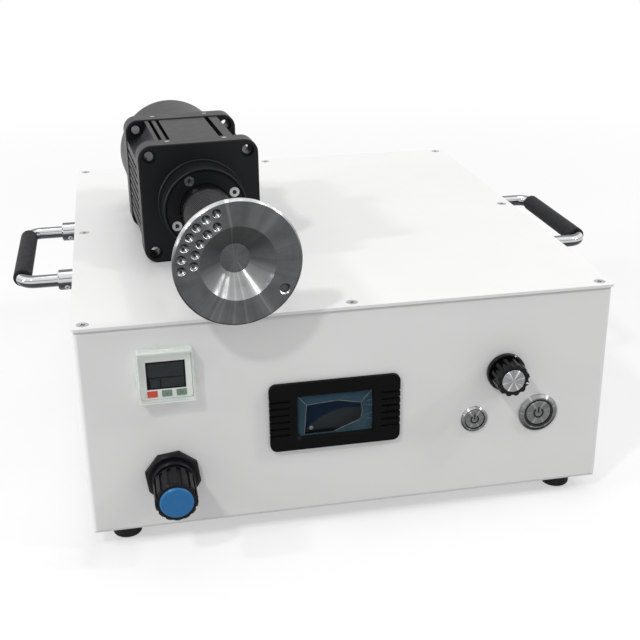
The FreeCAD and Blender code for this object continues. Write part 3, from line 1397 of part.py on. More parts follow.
def mains_inlet():
    """Mould the mains inlet with its socket, pins and fuse drawer."""
    inlet = on_rear("mains_inlet", "inlet_x", "inlet_level")
    pad(inlet, round_box(sketch(inlet), "inlet_plate_width", "inlet_plate_height",
                         "inlet_plate_proud"), "inlet_plate_proud")
    pad(inlet, box_outline(sketch(inlet), "inlet_body_width", "inlet_body_height"),
        "inlet_body_depth", reverse=True)
    right = "socket_width / 2"
    low = "inlet_rise - socket_height / 2"
    high = "inlet_rise + socket_height / 2"
    mouth = outline(sketch(inlet, "inlet_plate_proud"), [
        (f"-({right})", low), (right, low), (right, f"{high} - socket_corner"),
        (f"{right} - socket_corner", high), (f"socket_corner - {right}", high),
        (f"-({right})", f"{high} - socket_corner")])
    cut(inlet, mouth, "socket_depth")
    pins = sketch(inlet, "inlet_plate_proud - socket_depth")
    for step, rise in ((-1, "inlet_rise - pin_height / 2"), (0, "inlet_rise + pin_height / 2"),
                       (1, "inlet_rise - pin_height / 2")):
        box_outline(pins, "pin_width", "pin_height", f"{step} * pin_pitch", rise)
    pad(inlet, pins, "pin_length")
    drawer_hole = box_outline(sketch(inlet, "inlet_plate_proud"),
                              "drawer_width + 2 * fit_gap", "drawer_height + 2 * fit_gap",
                              "0", "-drawer_drop")
    cut(inlet, drawer_hole, "inlet_plate_proud + drawer_depth")
    drawer = on_rear("fuse_drawer", "inlet_x", "inlet_level - drawer_drop")
    pad(drawer, box_outline(sketch(drawer, "inlet_plate_proud"), "drawer_width",
                            "drawer_height"), "drawer_depth", reverse=True)
    pad(drawer, round_box(sketch(drawer, "inlet_plate_proud"), "drawer_width",
                          "drawer_height", "drawer_lip / 2"), "drawer_lip")
    well = box_outline(sketch(drawer, "-drawer_height / 2", "XZ_Plane"), "fuse_width",
                       "fuse_length", "0", "inlet_plate_proud - drawer_depth / 2")
    cut(drawer, well, "fuse_width", reverse=True)


def cooling_fan():
    """Build the axial fan behind the rear grille: frame with spider, and bladed rotor."""
    frame = on_rear("fan_frame", "fan_x", "fan_level")
    rear = "-sheet_wall - fan_depth"
    pad(frame, round_box(sketch(frame, "-sheet_wall"), "fan_width", "fan_width",
                         "fan_width / 16"), "fan_depth", reverse=True)
    cut(frame, circle(sketch(frame, "-sheet_wall"), "0", "0", "fan_bore"), "fan_depth")
    spider = box_outline(sketch(frame, rear), "fan_bore + fan_blade", "spider_width")
    pad(frame, spider, "spider_depth")
    cross = box_outline(sketch(frame, rear), "spider_width", "fan_bore + fan_blade")
    pad(frame, cross, "spider_depth")
    pad(frame, circle(sketch(frame, rear), "0", "0", "fan_hub"), "spider_depth")
    post = circle(sketch(frame, rear), "0", "0", "fan_bearing - 2 * running_fit")
    pad(frame, post, "fan_depth / 2")
    rotor = on_rear("fan_rotor", "fan_x", "fan_level")
    hub_rear = f"{rear} + spider_depth + fan_tip_gap"
    hub_front = "-sheet_wall - fan_tip_gap * 2"
    turned(rotor, [
        ("fan_bearing / 2", hub_rear), ("fan_hub / 2", hub_rear), ("fan_hub / 2", hub_front),
        ("0", hub_front), ("0", f"{rear} + fan_depth / 2 + fan_tip_gap"),
        ("fan_bearing / 2", f"{rear} + fan_depth / 2 + fan_tip_gap")])
    blade = sketch(rotor, "fan_hub / 2 - fan_blade", "YZ_Plane")
    depth = "fan_depth / 4"
    middle = f"(({hub_rear}) + ({hub_front})) / 2"
    outline(blade, [
        (f"-({depth}) - fan_blade", f"{middle} - {depth}"),
        (f"-({depth}) + fan_blade / 2", f"{middle} - {depth}"),
        (f"{depth} + fan_blade / 2", f"{middle} + {depth}"),
        (f"{depth} - fan_blade", f"{middle} + {depth}")])
    vane = pad(rotor, blade, "(fan_bore - fan_hub) / 2 + fan_blade - fan_tip_gap")
    around(rotor, vane, FAN_BLADES)


def gas_fittings():
    """Turn the two bulkhead unions for the gas in and the gas to the head."""
    unions = on_rear("gas_fittings", "fitting_x", "fitting_level", group=True)

    def both(lift, width, sides=0):
        """Draw a ring at each union."""
        drawing = sketch(unions, lift)
        for side in (-1, 1):
            x = f"{side} * fitting_pitch / 2"
            if sides:
                polygon(drawing, width, sides, 30, x)
            else:
                circle(drawing, x, "0", width)
            circle(drawing, x, "0", "fitting_bore")
        return drawing

    pad(unions, both("0", "fitting_hex", 6), "fitting_reach / 4")
    pad(unions, both("fitting_reach / 4", "fitting_thread"), "fitting_reach / 4")
    pad(unions, both("fitting_reach / 2", "fitting_cap"), "fitting_reach / 2")
    outer = of_radius("fitting_cap / 2")
    bevelled(unions, level_edges(unions, "fitting_reach", outer), "wide_bevel")
    pad(unions, both("0", "fitting_thread"), "fitting_inside", reverse=True)
    pad(unions, both("-sheet_wall", "fitting_hex", 6), "fitting_reach / 4", reverse=True)


def head_socket():
    """Turn the round socket that the head's cable plugs into."""
    socket = on_rear("head_socket", "head_socket_x", "head_socket_level")
    turned(socket, [
        ("0", "-head_socket_depth"), ("head_socket_barrel / 2", "-head_socket_depth"),
        ("head_socket_barrel / 2", "0"), ("head_socket_width / 2", "0"),
        ("head_socket_width / 2", "head_socket_proud / 4"),
        ("head_socket_barrel / 2", "head_socket_proud / 4"),
        ("head_socket_barrel / 2", "head_socket_proud"),
        ("head_socket_bore / 2", "head_socket_proud"), ("head_socket_bore / 2", "0"),
        ("0", "0")])
    pins = sketch(socket)
    for turn in range(0, 360, 90):
        circle(pins, f"head_socket_bore / 4 * cos({turn})",
               f"head_socket_bore / 4 * sin({turn})", "head_socket_bore / 8")
    pad(socket, pins, "head_socket_proud * 2 / 3")


def inner_modules():
    """Build what the cabinet holds: supply, transformer, control board and gas valve."""
    supply = piece("power_supply", "case_width / 4",
                   "rear_y - fan_depth - supply_gap - supply_length / 2", "floor_z", roll="0")
    pad(supply, box_outline(sketch(supply), "supply_width", "supply_length"), "supply_height")
    slits = sketch(supply, "supply_height")
    box_outline(slits, "supply_width - 2 * slit_pitch", "slit_width", "0",
                f"-{(SUPPLY_SLITS - 1) / 2} * slit_pitch")
    slit = cut(supply, slits, "slit_depth")
    in_line(supply, slit, "Y_Axis", "slit_pitch", SUPPLY_SLITS)
    transformer = piece("hv_transformer", "-case_width / 12", "middle_y", "floor_z", roll="0")
    pad(transformer, box_outline(sketch(transformer), "core_width", "core_depth"), "core_height")
    coil = round_box(sketch(transformer, "coil_lift"), "coil_width", "coil_depth", "coil_corner")
    pad(transformer, coil, "core_height - 2 * coil_lift")
    terminals = sketch(transformer, "core_height")
    for side in (-1, 1):
        circle(terminals, f"{side} * core_width / 4", "0", "terminal_width")
    pad(transformer, terminals, "terminal_height")
    board = piece("control_board", "case_width / 4", "front_y + board_setback", "floor_z",
                  roll="0")
    feet = sketch(board)
    for x in (-1, 1):
        for y in (-1, 1):
            circle(feet, f"{x} * (board_width / 2 - standoff_width)",
                   f"{y} * (board_length / 2 - standoff_width)", "standoff_width")
    card = sketch(board, "standoff_height")
    pad(board, box_outline(card, "board_width", "board_length"), "board_thickness")
    pad(board, feet, "standoff_height")
    deck = "standoff_height + board_thickness"
    block = box_outline(sketch(board, deck), "relay_width", "relay_length", "-board_width / 5",
                        "board_length / 6")
    pad(board, block, "relay_height")
    cans = sketch(board, deck)
    for step in (-1, 0, 1):
        circle(cans, "board_width / 5", f"{step} * board_length / 4", "can_width")
    pad(board, cans, "can_height")
    valve = piece("solenoid_valve", "fitting_x + fitting_pitch", "middle_y + case_depth / 8",
                  "floor_z", roll="0")
    pad(valve, box_outline(sketch(valve), "valve_width", "valve_length"), "valve_height")
    coil_can = round_box(sketch(valve, "valve_height"), "valve_coil", "valve_coil",
                         "valve_coil / 6")
    pad(valve, coil_can, "valve_coil_height")
    through = circle(sketch(valve, "0", "XZ_Plane"), "0", "valve_height / 2", "valve_width / 3")
    cut(valve, through, "2 * valve_length", middle=True)


def build():
    """Build every piece."""
    base_tray()
    front_panel()
    rear_panel()
    lid()
    rubber_feet()
    side_handle("left", "180", "-1")
    side_handle("right", "0", "1")
    handle_ferrules()
    power_meter()
    pressure_switch()
    push_button("start_button", "start_x", "start_head", "start_barrel", "start_cap",
                "start_proud", "start_depth", "start_travel")
    push_button("power_button", "power_button_x", "power_button_head", "power_button_barrel",
                "power_button_cap", "power_button_proud", "power_button_depth",
                "power_button_travel")
    panel_nuts()
    power_control()
    gas_regulator()
    head_housing()
    bearing_cap()
    head_drive()
    nozzle()
    electrode()
    head_ports()
    mains_inlet()
    cooling_fan()
    gas_fittings()
    head_socket()
    inner_modules()


def check_and_export():
    """Check every object, then write each piece to its own file."""
    doc.recompute()
    for item in doc.Objects:
        if "Invalid" in item.State or "Error" in item.State:
            raise RuntimeError(f"{item.Label} failed: {item.State}")
    for body in PIECES:
        if body.Shape.isNull() or not body.Shape.isValid():
            raise RuntimeError(f"{body.Label} has no valid shape")
    os.makedirs("parts", exist_ok=True)
    for body in PIECES:
        body.Shape.exportStep(f"parts/{body.Label}.step")
    print(f"{len(PIECES)} pieces written")


build()
check_and_export()
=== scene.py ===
"""Looks of a bench plasma treater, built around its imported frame.

The cabinet, its controls and the plasma head keep their CAD shapes. This script gives every
surface its finish and adds the fine pieces: film, symbols, pointer, threads and screws.
"""

import json
import logging
import math
from dataclasses import dataclass, field
from enum import Enum

import bmesh
import bpy
from mathutils import Matrix, Vector


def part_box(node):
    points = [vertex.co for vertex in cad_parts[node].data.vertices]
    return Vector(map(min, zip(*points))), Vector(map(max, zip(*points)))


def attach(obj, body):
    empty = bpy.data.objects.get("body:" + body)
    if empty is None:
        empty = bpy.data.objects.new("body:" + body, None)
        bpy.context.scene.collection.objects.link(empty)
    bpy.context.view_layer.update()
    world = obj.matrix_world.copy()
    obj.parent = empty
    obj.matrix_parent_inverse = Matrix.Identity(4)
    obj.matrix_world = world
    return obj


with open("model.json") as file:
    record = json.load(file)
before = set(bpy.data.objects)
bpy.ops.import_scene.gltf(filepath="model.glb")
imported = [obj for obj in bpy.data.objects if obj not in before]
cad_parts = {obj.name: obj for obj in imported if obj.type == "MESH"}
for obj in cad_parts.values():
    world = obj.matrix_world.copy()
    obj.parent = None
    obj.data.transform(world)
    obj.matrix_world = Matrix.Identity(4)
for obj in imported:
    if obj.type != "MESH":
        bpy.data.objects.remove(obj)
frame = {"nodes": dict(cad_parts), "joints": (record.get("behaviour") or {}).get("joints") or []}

LOG = logging.getLogger("plasma_treater")
MM = 0.001
WHITE = "#FFFFFF"
FRONT = Vector((0.0, -1.0, 0.0))
Tree = bpy.types.NodeTree
Socket = bpy.types.NodeSocket


def linear(colour: str) -> tuple[float, float, float, float]:
    """Turn an sRGB hex colour into linear light.

    Args:
        colour: The colour as "#rrggbb".

    Returns:
        Linear red, green and blue, and an alpha of one.
    """
    parts = [int(colour[start:start + 2], 16) / 255 for start in (1, 3, 5)]
    light = [part / 12.92 if part <= 0.04045 else ((part + 0.055) / 1.055) ** 2.4 for part in parts]
    return (*light, 1.0)


def shade(colour: str, factor: float) -> tuple[float, float, float, float]:
    """Make a colour lighter or darker.

    Args:
        colour: The colour as "#rrggbb".
        factor: What its linear light is multiplied by.

    Returns:
        The linear colour, held within white.
    """
    return (*[min(1.0, part * factor) for part in linear(colour)[:3]], 1.0)


def node(tree: Tree, kind: str, inputs: dict | None = None,
         **settings: object) -> bpy.types.Node:
    """Add a shader node with its settings and links.

    Args:
        tree: The material's node tree.
        kind: The node's type.
        inputs: A value or another node's socket for each named or numbered input.
        settings: The node's own settings.

    Returns:
        The new node.
    """
    made = tree.nodes.new(kind)
    for name, value in settings.items():
        setattr(made, name, value)
    for socket, value in (inputs or {}).items():
        if isinstance(value, Socket):
            tree.links.new(value, made.inputs[socket])
        else:
            made.inputs[socket].default_value = value
    return made


def maths(tree: Tree, operation: str, *values: Socket | float) -> Socket:
    """Work out one number from others."""
    return node(tree, "ShaderNodeMath", dict(enumerate(values)), operation=operation).outputs[0]


def vectors(tree: Tree, operation: str, *values: Socket | tuple) -> Socket:
    """Work out one vector from others, or the number that LENGTH and DISTANCE give."""
    made = node(tree, "ShaderNodeVectorMath", dict(enumerate(values)), operation=operation)
    return made.outputs["Value" if operation in ("LENGTH", "DISTANCE") else "Vector"]


def spread(tree: Tree, value: Socket, low: float, high: float, start: float = 0.0,
           end: float = 1.0) -> Socket:
    """Turn a value between two limits into one between two others, and hold it there.

    Args:
        tree: The material's node tree.
        value: The value.
        low: The value that gives start.
        high: The value that gives end.
        start: What the low value becomes.
        end: What the high value becomes.

    Returns:
        The new value.
    """
    inputs = {"Value": value, "From Min": low, "From Max": high, "To Min": start, "To Max": end}
    return node(tree, "ShaderNodeMapRange", inputs).outputs["Result"]


def ramp(tree: Tree, share: Socket, *stops: tuple[float, tuple | str]) -> Socket:
    """Pick a colour by a share from 0 to 1.

    Args:
        tree: The material's node tree.
        share: The share.
        stops: A share and a colour, linear or as sRGB hex, for each stop.

    Returns:
        The colour.
    """
    made = node(tree, "ShaderNodeValToRGB", {"Fac": share})
    elements = made.color_ramp.elements
    for index, (position, colour) in enumerate(stops):
        stop = elements[index] if index < 2 else elements.new(position)
        stop.position = position
        stop.color = linear(colour) if isinstance(colour, str) else colour
    return made.outputs["Color"]


def either(tree: Tree, share: Socket, first: Socket | tuple, second: Socket | tuple) -> Socket:
    """Mix two colours: the first where the share is 0, the second where it is 1."""
    inputs = {"Factor": share, 6: first, 7: second}
    return node(tree, "ShaderNodeMix", inputs, data_type="RGBA").outputs[2]


def facing(origin: Vector, turn: float) -> Matrix:
    """Make a frame whose Z leaves a wall.

    Args:
        origin: Its origin, in metres.
        turn: Its turn about the vertical in degrees: 0 faces the front, 180 the rear.

    Returns:
        The matrix from millimetres in the frame to metres in the row frame.
    """
    sine, cosine = math.sin(math.radians(turn)), math.cos(math.radians(turn))
    axes = Matrix(((cosine, 0, sine), (sine, 0, -cosine), (0, 1, 0)))
    return Matrix.Translation(origin) @ (axes * MM).to_4x4()


def middle(name: str) -> Vector:
    """Give the middle of a CAD node's box."""
    low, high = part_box(name)
    return (low + high) / 2


def front(name: str) -> Matrix:
    """Give the frame at the middle of a CAD node's front."""
    spot = middle(name)
    spot.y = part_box(name)[0].y
    return facing(spot, 0)


class Grain(Enum):
    """How a surface was made, which sets its fine pattern."""

    MOULDED = "moulded"
    POWDER = "powder coated"
    BRUSHED = "brushed"
    BLASTED = "blasted"


@dataclass(frozen=True)
class Finish:
    """A surface finish.

    Args:
        name: The real material and how it was made.
        colour: Its sRGB colour.
        roughness: Its roughness, from 0 for a mirror.
        metallic: 1 for a bare metal.
        grain: How the surface was made.
        grain_mm: Size of the fine pattern.
        grain_depth_mm: Height of the fine pattern.
        mottle: Share by which the colour varies.
        mottle_mm: Size of the colour's patches.
        gloss_swing: How far the roughness varies.
        ior: Refractive index, unless it is a metal.
        specular: How strongly it mirrors, where 0.5 is the refractive index's own share.
        alpha: Less than 1 for a thin film or a clear plastic.
    """

    name: str
    colour: str
    roughness: float
    metallic: float = 0.0
    grain: Grain = Grain.MOULDED
    grain_mm: float = 0.8
    grain_depth_mm: float = 0.01
    mottle: float = 0.06
    mottle_mm: float = 25.0
    gloss_swing: float = 0.08
    ior: float = 1.5
    specular: float = 0.5
    alpha: float = 1.0

    def noise(self, tree: Tree, place: Socket, size: float, detail: float = 2.0) -> Socket:
        """Draw patches of one size.

        Args:
            tree: The material's node tree.
            place: Where on the surface.
            size: The patches' size in millimetres.
            detail: How many finer layers lie over them.

        Returns:
            The noise's strength from 0 to 1.
        """
        inputs = {"Vector": place, "Scale": 1 / (size * MM), "Detail": detail}
        return node(tree, "ShaderNodeTexNoise", inputs).outputs["Fac"]

    def grain_height(self, tree: Tree, place: Socket) -> Socket:
        """Draw the fine pattern's height."""
        if self.grain is Grain.BRUSHED:
            stretch = (0.04, 1.0, 1.0)
            place = node(tree, "ShaderNodeMapping", {"Vector": place, "Scale": stretch}).outputs[0]
        return self.noise(tree, place, self.grain_mm, 3.0)

    def colours(self, tree: Tree, place: Socket) -> Socket:
        """Draw the colour with its slight patches."""
        patches = self.noise(tree, place, self.mottle_mm, 4.0)
        return ramp(tree, patches, (0.3, shade(self.colour, 1 - self.mottle)),
                    (0.7, shade(self.colour, 1 + self.mottle)))

    def gloss(self, tree: Tree, place: Socket) -> Socket:
        """Draw the roughness with its slight patches."""
        patches = self.noise(tree, place, self.mottle_mm / 3, 3.0)
        low, high = self.roughness - self.gloss_swing, self.roughness + self.gloss_swing
        return spread(tree, patches, 0.3, 0.7, max(0.01, low), min(1.0, high))

    def material(self) -> bpy.types.Material:
        """Build the material, or find it if it is built.

        Returns:
            The material.
        """
        made = bpy.data.materials.get(self.name)
        if made:
            return made
        made = bpy.data.materials.new(self.name)
        made.use_nodes = True
        tree = made.node_tree
        tree.nodes.clear()
        place = node(tree, "ShaderNodeTexCoord").outputs["Object"]
        bump = node(tree, "ShaderNodeBump", {
            "Height": self.grain_height(tree, place), "Distance": self.grain_depth_mm * MM})
        inputs = {
            "Base Color": self.colours(tree, place), "Roughness": self.gloss(tree, place),
            "Normal": bump.outputs["Normal"], "Metallic": self.metallic, "Alpha": self.alpha}
        if not self.metallic:
            inputs["IOR"] = self.ior
            inputs["Specular IOR Level"] = self.specular
        self.extra(tree, place, inputs)
        shader = node(tree, "ShaderNodeBsdfPrincipled", inputs)
        node(tree, "ShaderNodeOutputMaterial", {"Surface": shader.outputs["BSDF"]})
        return made

    def extra(self, tree: Tree, place: Socket, inputs: dict) -> None:
        """Add what a special finish needs. A plain finish needs nothing."""

    def reflection_painted_by_tilt(self, tree: Tree, painted_tones: tuple[tuple[float, str], ...],
                waver: float = 0.0) -> Socket:
        """Paint a reflection into the colour by how far the surface faces down or up.

        Bare metal in a room mirrors a dark side and a bright one. A pale studio has no dark
        side, so the colour carries it.

        Args:
            tree: The material's node tree.
            painted_tones: The painted reflection's sRGB colour for each tilt, from 0 facing down to
                1 facing up.
            waver: How far the colours' edges wander, as a share of the tilt.

        Returns:
            The colour.
        """
        place = node(tree, "ShaderNodeTexCoord").outputs
        tilt = node(tree, "ShaderNodeSeparateXYZ", {0: place["Normal"]}).outputs["Z"]
        share = spread(tree, tilt, -1.0, 1.0)
        if waver:
            wander = self.noise(tree, place["Object"], 9.0)
            share = maths(tree, "MULTIPLY_ADD", wander, waver, share)
        return ramp(tree, share, *painted_tones)


@dataclass(frozen=True)
class PaintedMirror(Finish):
    """A polished tube, with the dark and light lines that a room draws along it painted into its
    colour as a painted reflection.

    Args:
        lines: The painted reflection's sRGB colour for each tilt, from 0 facing down to 1 facing
            up.
    """

    lines: tuple[tuple[float, str], ...] = ((0.0, WHITE), (1.0, WHITE))

    def colours(self, tree: Tree, place: Socket) -> Socket:
        """Draw the lines of painted reflection."""
        return self.reflection_painted_by_tilt(tree, self.lines, 0.04)


@dataclass(frozen=True)
class Turned(Finish):
    """Metal faced on a lathe: rings round an axis that throw light in radial streaks. The streaks,
    the thin ray lines and the tones of tilted bevels are painted light and shade in its colour.

    Args:
        centre: A point on the axis, in metres.
        axis: The axis, as a unit vector.
        ring_mm: Distance between the tool's rings, as coarse as shows.
        streak: Share by which the streaks lighten the metal, partly the tool's marks and partly a
            painted reflection.
        streaks: How many streaks go round.
        stretch: How far the gloss is drawn out across the rings.
        rays: Painted highlights: the angle of each thin ray in degrees, and the share by which it
            lightens the metal.
        ray_width: Half of a ray's width, as a share of its distance from the axis.
        polish: sRGB colour of painted highlight on bevels that face up to the light.
        shade: sRGB colour of painted shade on bevels that face down.
    """

    centre: tuple[float, float, float] = (0.0, 0.0, 0.0)
    axis: tuple[float, float, float] = (0.0, -1.0, 0.0)
    ring_mm: float = 0.5
    streak: float = 0.12
    streaks: float = 3.0
    stretch: float = 1.0
    rays: tuple[tuple[float, float], ...] = ()
    ray_width: float = 0.05
    polish: str = WHITE
    shade: str = "#2B2C2C"

    def flat(self, tree: Tree, place: Socket) -> Socket:
        """Give the way out from the axis, as a vector square to it."""
        out = vectors(tree, "SUBTRACT", place, self.centre)
        return vectors(tree, "SUBTRACT", out, vectors(tree, "PROJECT", out, self.axis))

    def reach(self, tree: Tree, place: Socket) -> Socket:
        """Give the distance from the axis, in metres."""
        return vectors(tree, "LENGTH", self.flat(tree, place))

    def grain_height(self, tree: Tree, place: Socket) -> Socket:
        """Draw the tool's rings."""
        rings = node(tree, "ShaderNodeCombineXYZ", {"X": self.reach(tree, place)}).outputs[0]
        return self.noise(tree, rings, self.ring_mm, 2.0)

    def metal(self, tree: Tree, place: Socket) -> Socket:
        """Give the metal's colour, with painted shade where it faces down and painted highlight
        where it faces up.
        """
        return self.reflection_painted_by_tilt(tree, self.painted_tones(self.shade, self.polish))

    def painted_tones(self, down: str, up: str) -> tuple[tuple[float, str], ...]:
        """Set the metal's colour between painted shade for surfaces that face down and painted
        highlight for up.
        """
        return ((0.3, down), (0.47, self.colour), (0.53, self.colour), (0.8, up))

    def colours(self, tree: Tree, place: Socket) -> Socket:
        """Draw radial streaks, broad and fine, partly tool marks and partly painted reflection, and
        a thin painted highlight at each ray's angle over them.
        """
        way = vectors(tree, "NORMALIZE", self.flat(tree, place))
        broad = node(tree, "ShaderNodeTexNoise", {
            "Vector": way, "Scale": self.streaks / 2, "Detail": 1.0}).outputs["Fac"]
        fine = node(tree, "ShaderNodeTexNoise", {
            "Vector": way, "Scale": self.streaks * 3, "Detail": 2.0}).outputs["Fac"]
        share = spread(tree, maths(tree, "MULTIPLY", broad, fine), 0.16, 0.36,
                       1 - self.streak / 2, 1 + self.streak)
        for angle, light in self.rays:
            aim = (math.cos(math.radians(angle)), 0.0, math.sin(math.radians(angle)))
            away = vectors(tree, "DISTANCE", way, aim)
            share = maths(tree, "ADD", share, spread(tree, away, self.ray_width, 0.0, 0.0, light))
        return node(tree, "ShaderNodeVectorMath", {0: self.metal(tree, place), "Scale": share},
                    operation="SCALE").outputs[0]

    def extra(self, tree: Tree, place: Socket, inputs: dict) -> None:
        """Stretch the gloss across the rings."""
        inputs["Anisotropic"] = self.stretch
        inputs["Tangent"] = vectors(tree, "NORMALIZE", self.flat(tree, place))


@dataclass(frozen=True)
class Dished(Turned):
    """A turned disc with a cone sunk in its face, painted lighter on its lower side as painted
    light and darker on its upper side as painted shade.

    Args:
        cone_painted_light: The cone's sRGB colour on its lower side, painted light where it faces
            the light.
        cone_painted_shade: The cone's sRGB colour on its upper side, painted shade.
        hub_mm: Radius of the flat hub inside the cone.
        bowl_mm: Radius of the cone's mouth.
    """

    cone_painted_light: str = WHITE
    cone_painted_shade: str = WHITE
    hub_mm: float = 9.4
    bowl_mm: float = 23.5

    def metal(self, tree: Tree, place: Socket) -> Socket:
        """Give the colours of the face and the cone, with painted shade where they face down and
        painted light where they face up.
        """
        inside = maths(tree, "COMPARE", self.reach(tree, place),
                       (self.bowl_mm + self.hub_mm) / 2 * MM, (self.bowl_mm - self.hub_mm) / 2 * MM)
        return either(tree, inside, self.reflection_painted_by_tilt(tree, self.painted_tones(self.shade, self.polish)),
                      self.reflection_painted_by_tilt(tree, self.painted_tones(self.cone_painted_shade, self.cone_painted_light)))


@dataclass(frozen=True)
class Threaded(Turned):
    """A screw thread, darker in its grooves and lighter on its crests.

    Args:
        crest: sRGB colour of the crests.
        root_mm: Radius where the dark ends.
        crest_mm: Radius of the crests.
    """

    crest: str = WHITE
    root_mm: float = 17.4
    crest_mm: float = 17.7

    def colours(self, tree: Tree, place: Socket) -> Socket:
        """Draw the grooves and the crests."""
        share = spread(tree, self.reach(tree, place), self.root_mm * MM, self.crest_mm * MM)
        return ramp(tree, share, (0.0, self.colour), (1.0, self.crest))


@dataclass(frozen=True)
class Edged(Finish):
    """A square cover of clear plastic whose walls and edges show thicker, with the edge painted
    lighter as a painted highlight where they gather light.

    Args:
        centre: Middle of the square, in metres.
        half_mm: Half of its side.
        band_mm: Width of the edge that shows.
        wall: The edge's sRGB colour, a painted highlight.
        edge_alpha: How much thicker than the face the edge looks.
    """

    centre: tuple[float, float, float] = (0.0, 0.0, 0.0)
    half_mm: float = 18.0
    band_mm: float = 1.3
    wall: str = WHITE
    edge_alpha: float = 0.6

    def edge(self, tree: Tree, place: Socket) -> Socket:
        """Give 1 at the edge of the square."""
        away = vectors(tree, "ABSOLUTE", vectors(tree, "SUBTRACT", place, self.centre))
        parts = node(tree, "ShaderNodeSeparateXYZ", {0: away}).outputs
        far = maths(tree, "MAXIMUM", parts["X"], parts["Z"])
        return maths(tree, "COMPARE", far, self.half_mm * MM, self.band_mm * MM)

    def colours(self, tree: Tree, place: Socket) -> Socket:
        """Draw the clear face and its edge, painted lighter as a painted highlight."""
        return either(tree, self.edge(tree, place), linear(self.colour), linear(self.wall))

    def extra(self, tree: Tree, place: Socket, inputs: dict) -> None:
        """Let light straight through, least at the edge."""
        edge = self.edge(tree, place)
        inputs["Alpha"] = maths(tree, "MULTIPLY_ADD", edge, self.edge_alpha, self.alpha)


@dataclass(frozen=True)
class ScatterPaintedDisplay(Finish):
    """A display whose lower right is painted grey, standing for the light that scatters there.

    Args:
        second: The second sRGB colour, painted where the light scatters.
        centre: Middle of the second colour's round patch, in metres.
        reach_mm: Radius of that patch.
        ragged_mm: Size of the patches in its edge.
    """

    second: str = "#3a3b41"
    centre: tuple[float, float, float] = (0.0, 0.0, 0.0)
    reach_mm: float = 42.0
    ragged_mm: float = 3.0

    def colours(self, tree: Tree, place: Socket) -> Socket:
        """Draw the two colours with a ragged edge between them."""
        flat = vectors(tree, "MULTIPLY", place, (1.0, 0.0, 1.0))
        reach = vectors(tree, "DISTANCE", flat, self.centre)
        wander = self.noise(tree, place, self.ragged_mm, 3.0)
        ragged = maths(tree, "MULTIPLY_ADD", wander, 0.8 * self.ragged_mm * MM, reach)
        edge = spread(tree, ragged, (self.reach_mm + 0.2 * self.ragged_mm) * MM,
                      (self.reach_mm + 0.6 * self.ragged_mm) * MM)
        return ramp(tree, edge, (0.0, self.second), (1.0, self.colour))


# Steel sheet under a baked powder coat: near white, with a faint orange peel in its gloss
POWDER_WHITE = Finish("white_powder_coated_steel", "#EEEEED", 0.42, grain=Grain.POWDER,
                      grain_mm=1.4, grain_depth_mm=0.012, mottle=0.008, mottle_mm=60, ior=1.5)
# Aluminium, blasted and anodised: near black, satin, with a fine dry grain
ANODISED_BLACK = Finish("black_anodised_aluminium", "#101214", 0.4, grain=Grain.BLASTED,
                        grain_mm=0.5, grain_depth_mm=0.002, mottle=0.04, mottle_mm=18,
                        gloss_swing=0.02, ior=1.5, specular=0.2)
# Steel blacked in a hot bath: near black with a thin oily shine
BLACKED_STEEL = Finish("blackened_steel", "#0A0B0C", 0.3, grain_mm=0.4, grain_depth_mm=0.003,
                       mottle=0.15, mottle_mm=6, ior=1.5, specular=0.12)
# Chromium plate on steel tube: a clear mirror, with a painted reflection that is dark below and has
# a dark line along its side
CHROME = PaintedMirror("chrome_plated_steel", "#DADCDE", 0.07, 1.0, gloss_swing=0.03, lines=(
    (0.0, "#8A8C8E"), (0.16, "#5C5E60"), (0.4, "#3E4042"), (0.52, "#4C4E50"),
    (0.57, "#C4C6C7"), (0.69, "#D4D6D7"), (0.725, "#505254"), (0.76, "#CCCECF"),
    (0.93, "#ECEDEE"), (0.98, "#A0A2A4"), (1.0, "#6A6C6E")))
# Zinc plated screws: pale, a little cloudy
ZINC = Finish("zinc_plated_steel", "#B4B6B6", 0.24, 1.0, grain_mm=0.6, grain_depth_mm=0.004)
# Stainless steel, satin brushed: grey with soft lines
STAINLESS = Finish("brushed_stainless_steel", "#A9AAAB", 0.3, 1.0, grain=Grain.BRUSHED,
                   grain_mm=0.3, grain_depth_mm=0.003)
# Nickel plated brass: warm grey and bright
NICKEL = Finish("nickel_plated_brass", "#B7B2A8", 0.2, 1.0, grain_depth_mm=0.003)
# Ground steel of bearings and shafts
GROUND_STEEL = Finish("ground_bearing_steel", "#9C9E9F", 0.22, 1.0, grain=Grain.BRUSHED,
                      grain_mm=0.2, grain_depth_mm=0.002)
# Foamed nitrile rubber: black, soft and dull
RUBBER = Finish("foamed_nitrile_rubber", "#1E1F21", 0.72, grain_mm=0.7, grain_depth_mm=0.03,
                mottle=0.15, mottle_mm=9, ior=1.45, specular=0.3)
# Moulded ABS: black with a fine spark-eroded grain
ABS_BLACK = Finish("black_moulded_abs", "#0B0C0D", 0.46, grain_mm=0.6, grain_depth_mm=0.012,
                   mottle=0.08, mottle_mm=12, ior=1.52, specular=0.05)
# Moulded nylon: black, a little waxy
NYLON_BLACK = Finish("black_moulded_nylon", "#101113", 0.38, grain_mm=0.9,
                     grain_depth_mm=0.012, mottle=0.10, mottle_mm=10, ior=1.53, specular=0.12)
# Phenolic knob: black and polished
PHENOLIC = Finish("polished_black_phenolic", "#060708", 0.12, grain_depth_mm=0.004,
                  mottle=0.08, ior=1.6, specular=0.14)
# White ABS of the pressure switch
ABS_WHITE = Finish("white_moulded_abs", "#F1F4F0", 0.4, grain_mm=0.6, grain_depth_mm=0.008,
                   mottle=0.02, ior=1.52)
# Acrylic window of the meter: clear with a cool tint
ACRYLIC = Finish("tinted_acrylic", "#39434A", 0.1, gloss_swing=0.015, grain_mm=6.0,
                 grain_depth_mm=0.002, mottle=0.02, ior=1.49, specular=0.1, alpha=0.03)
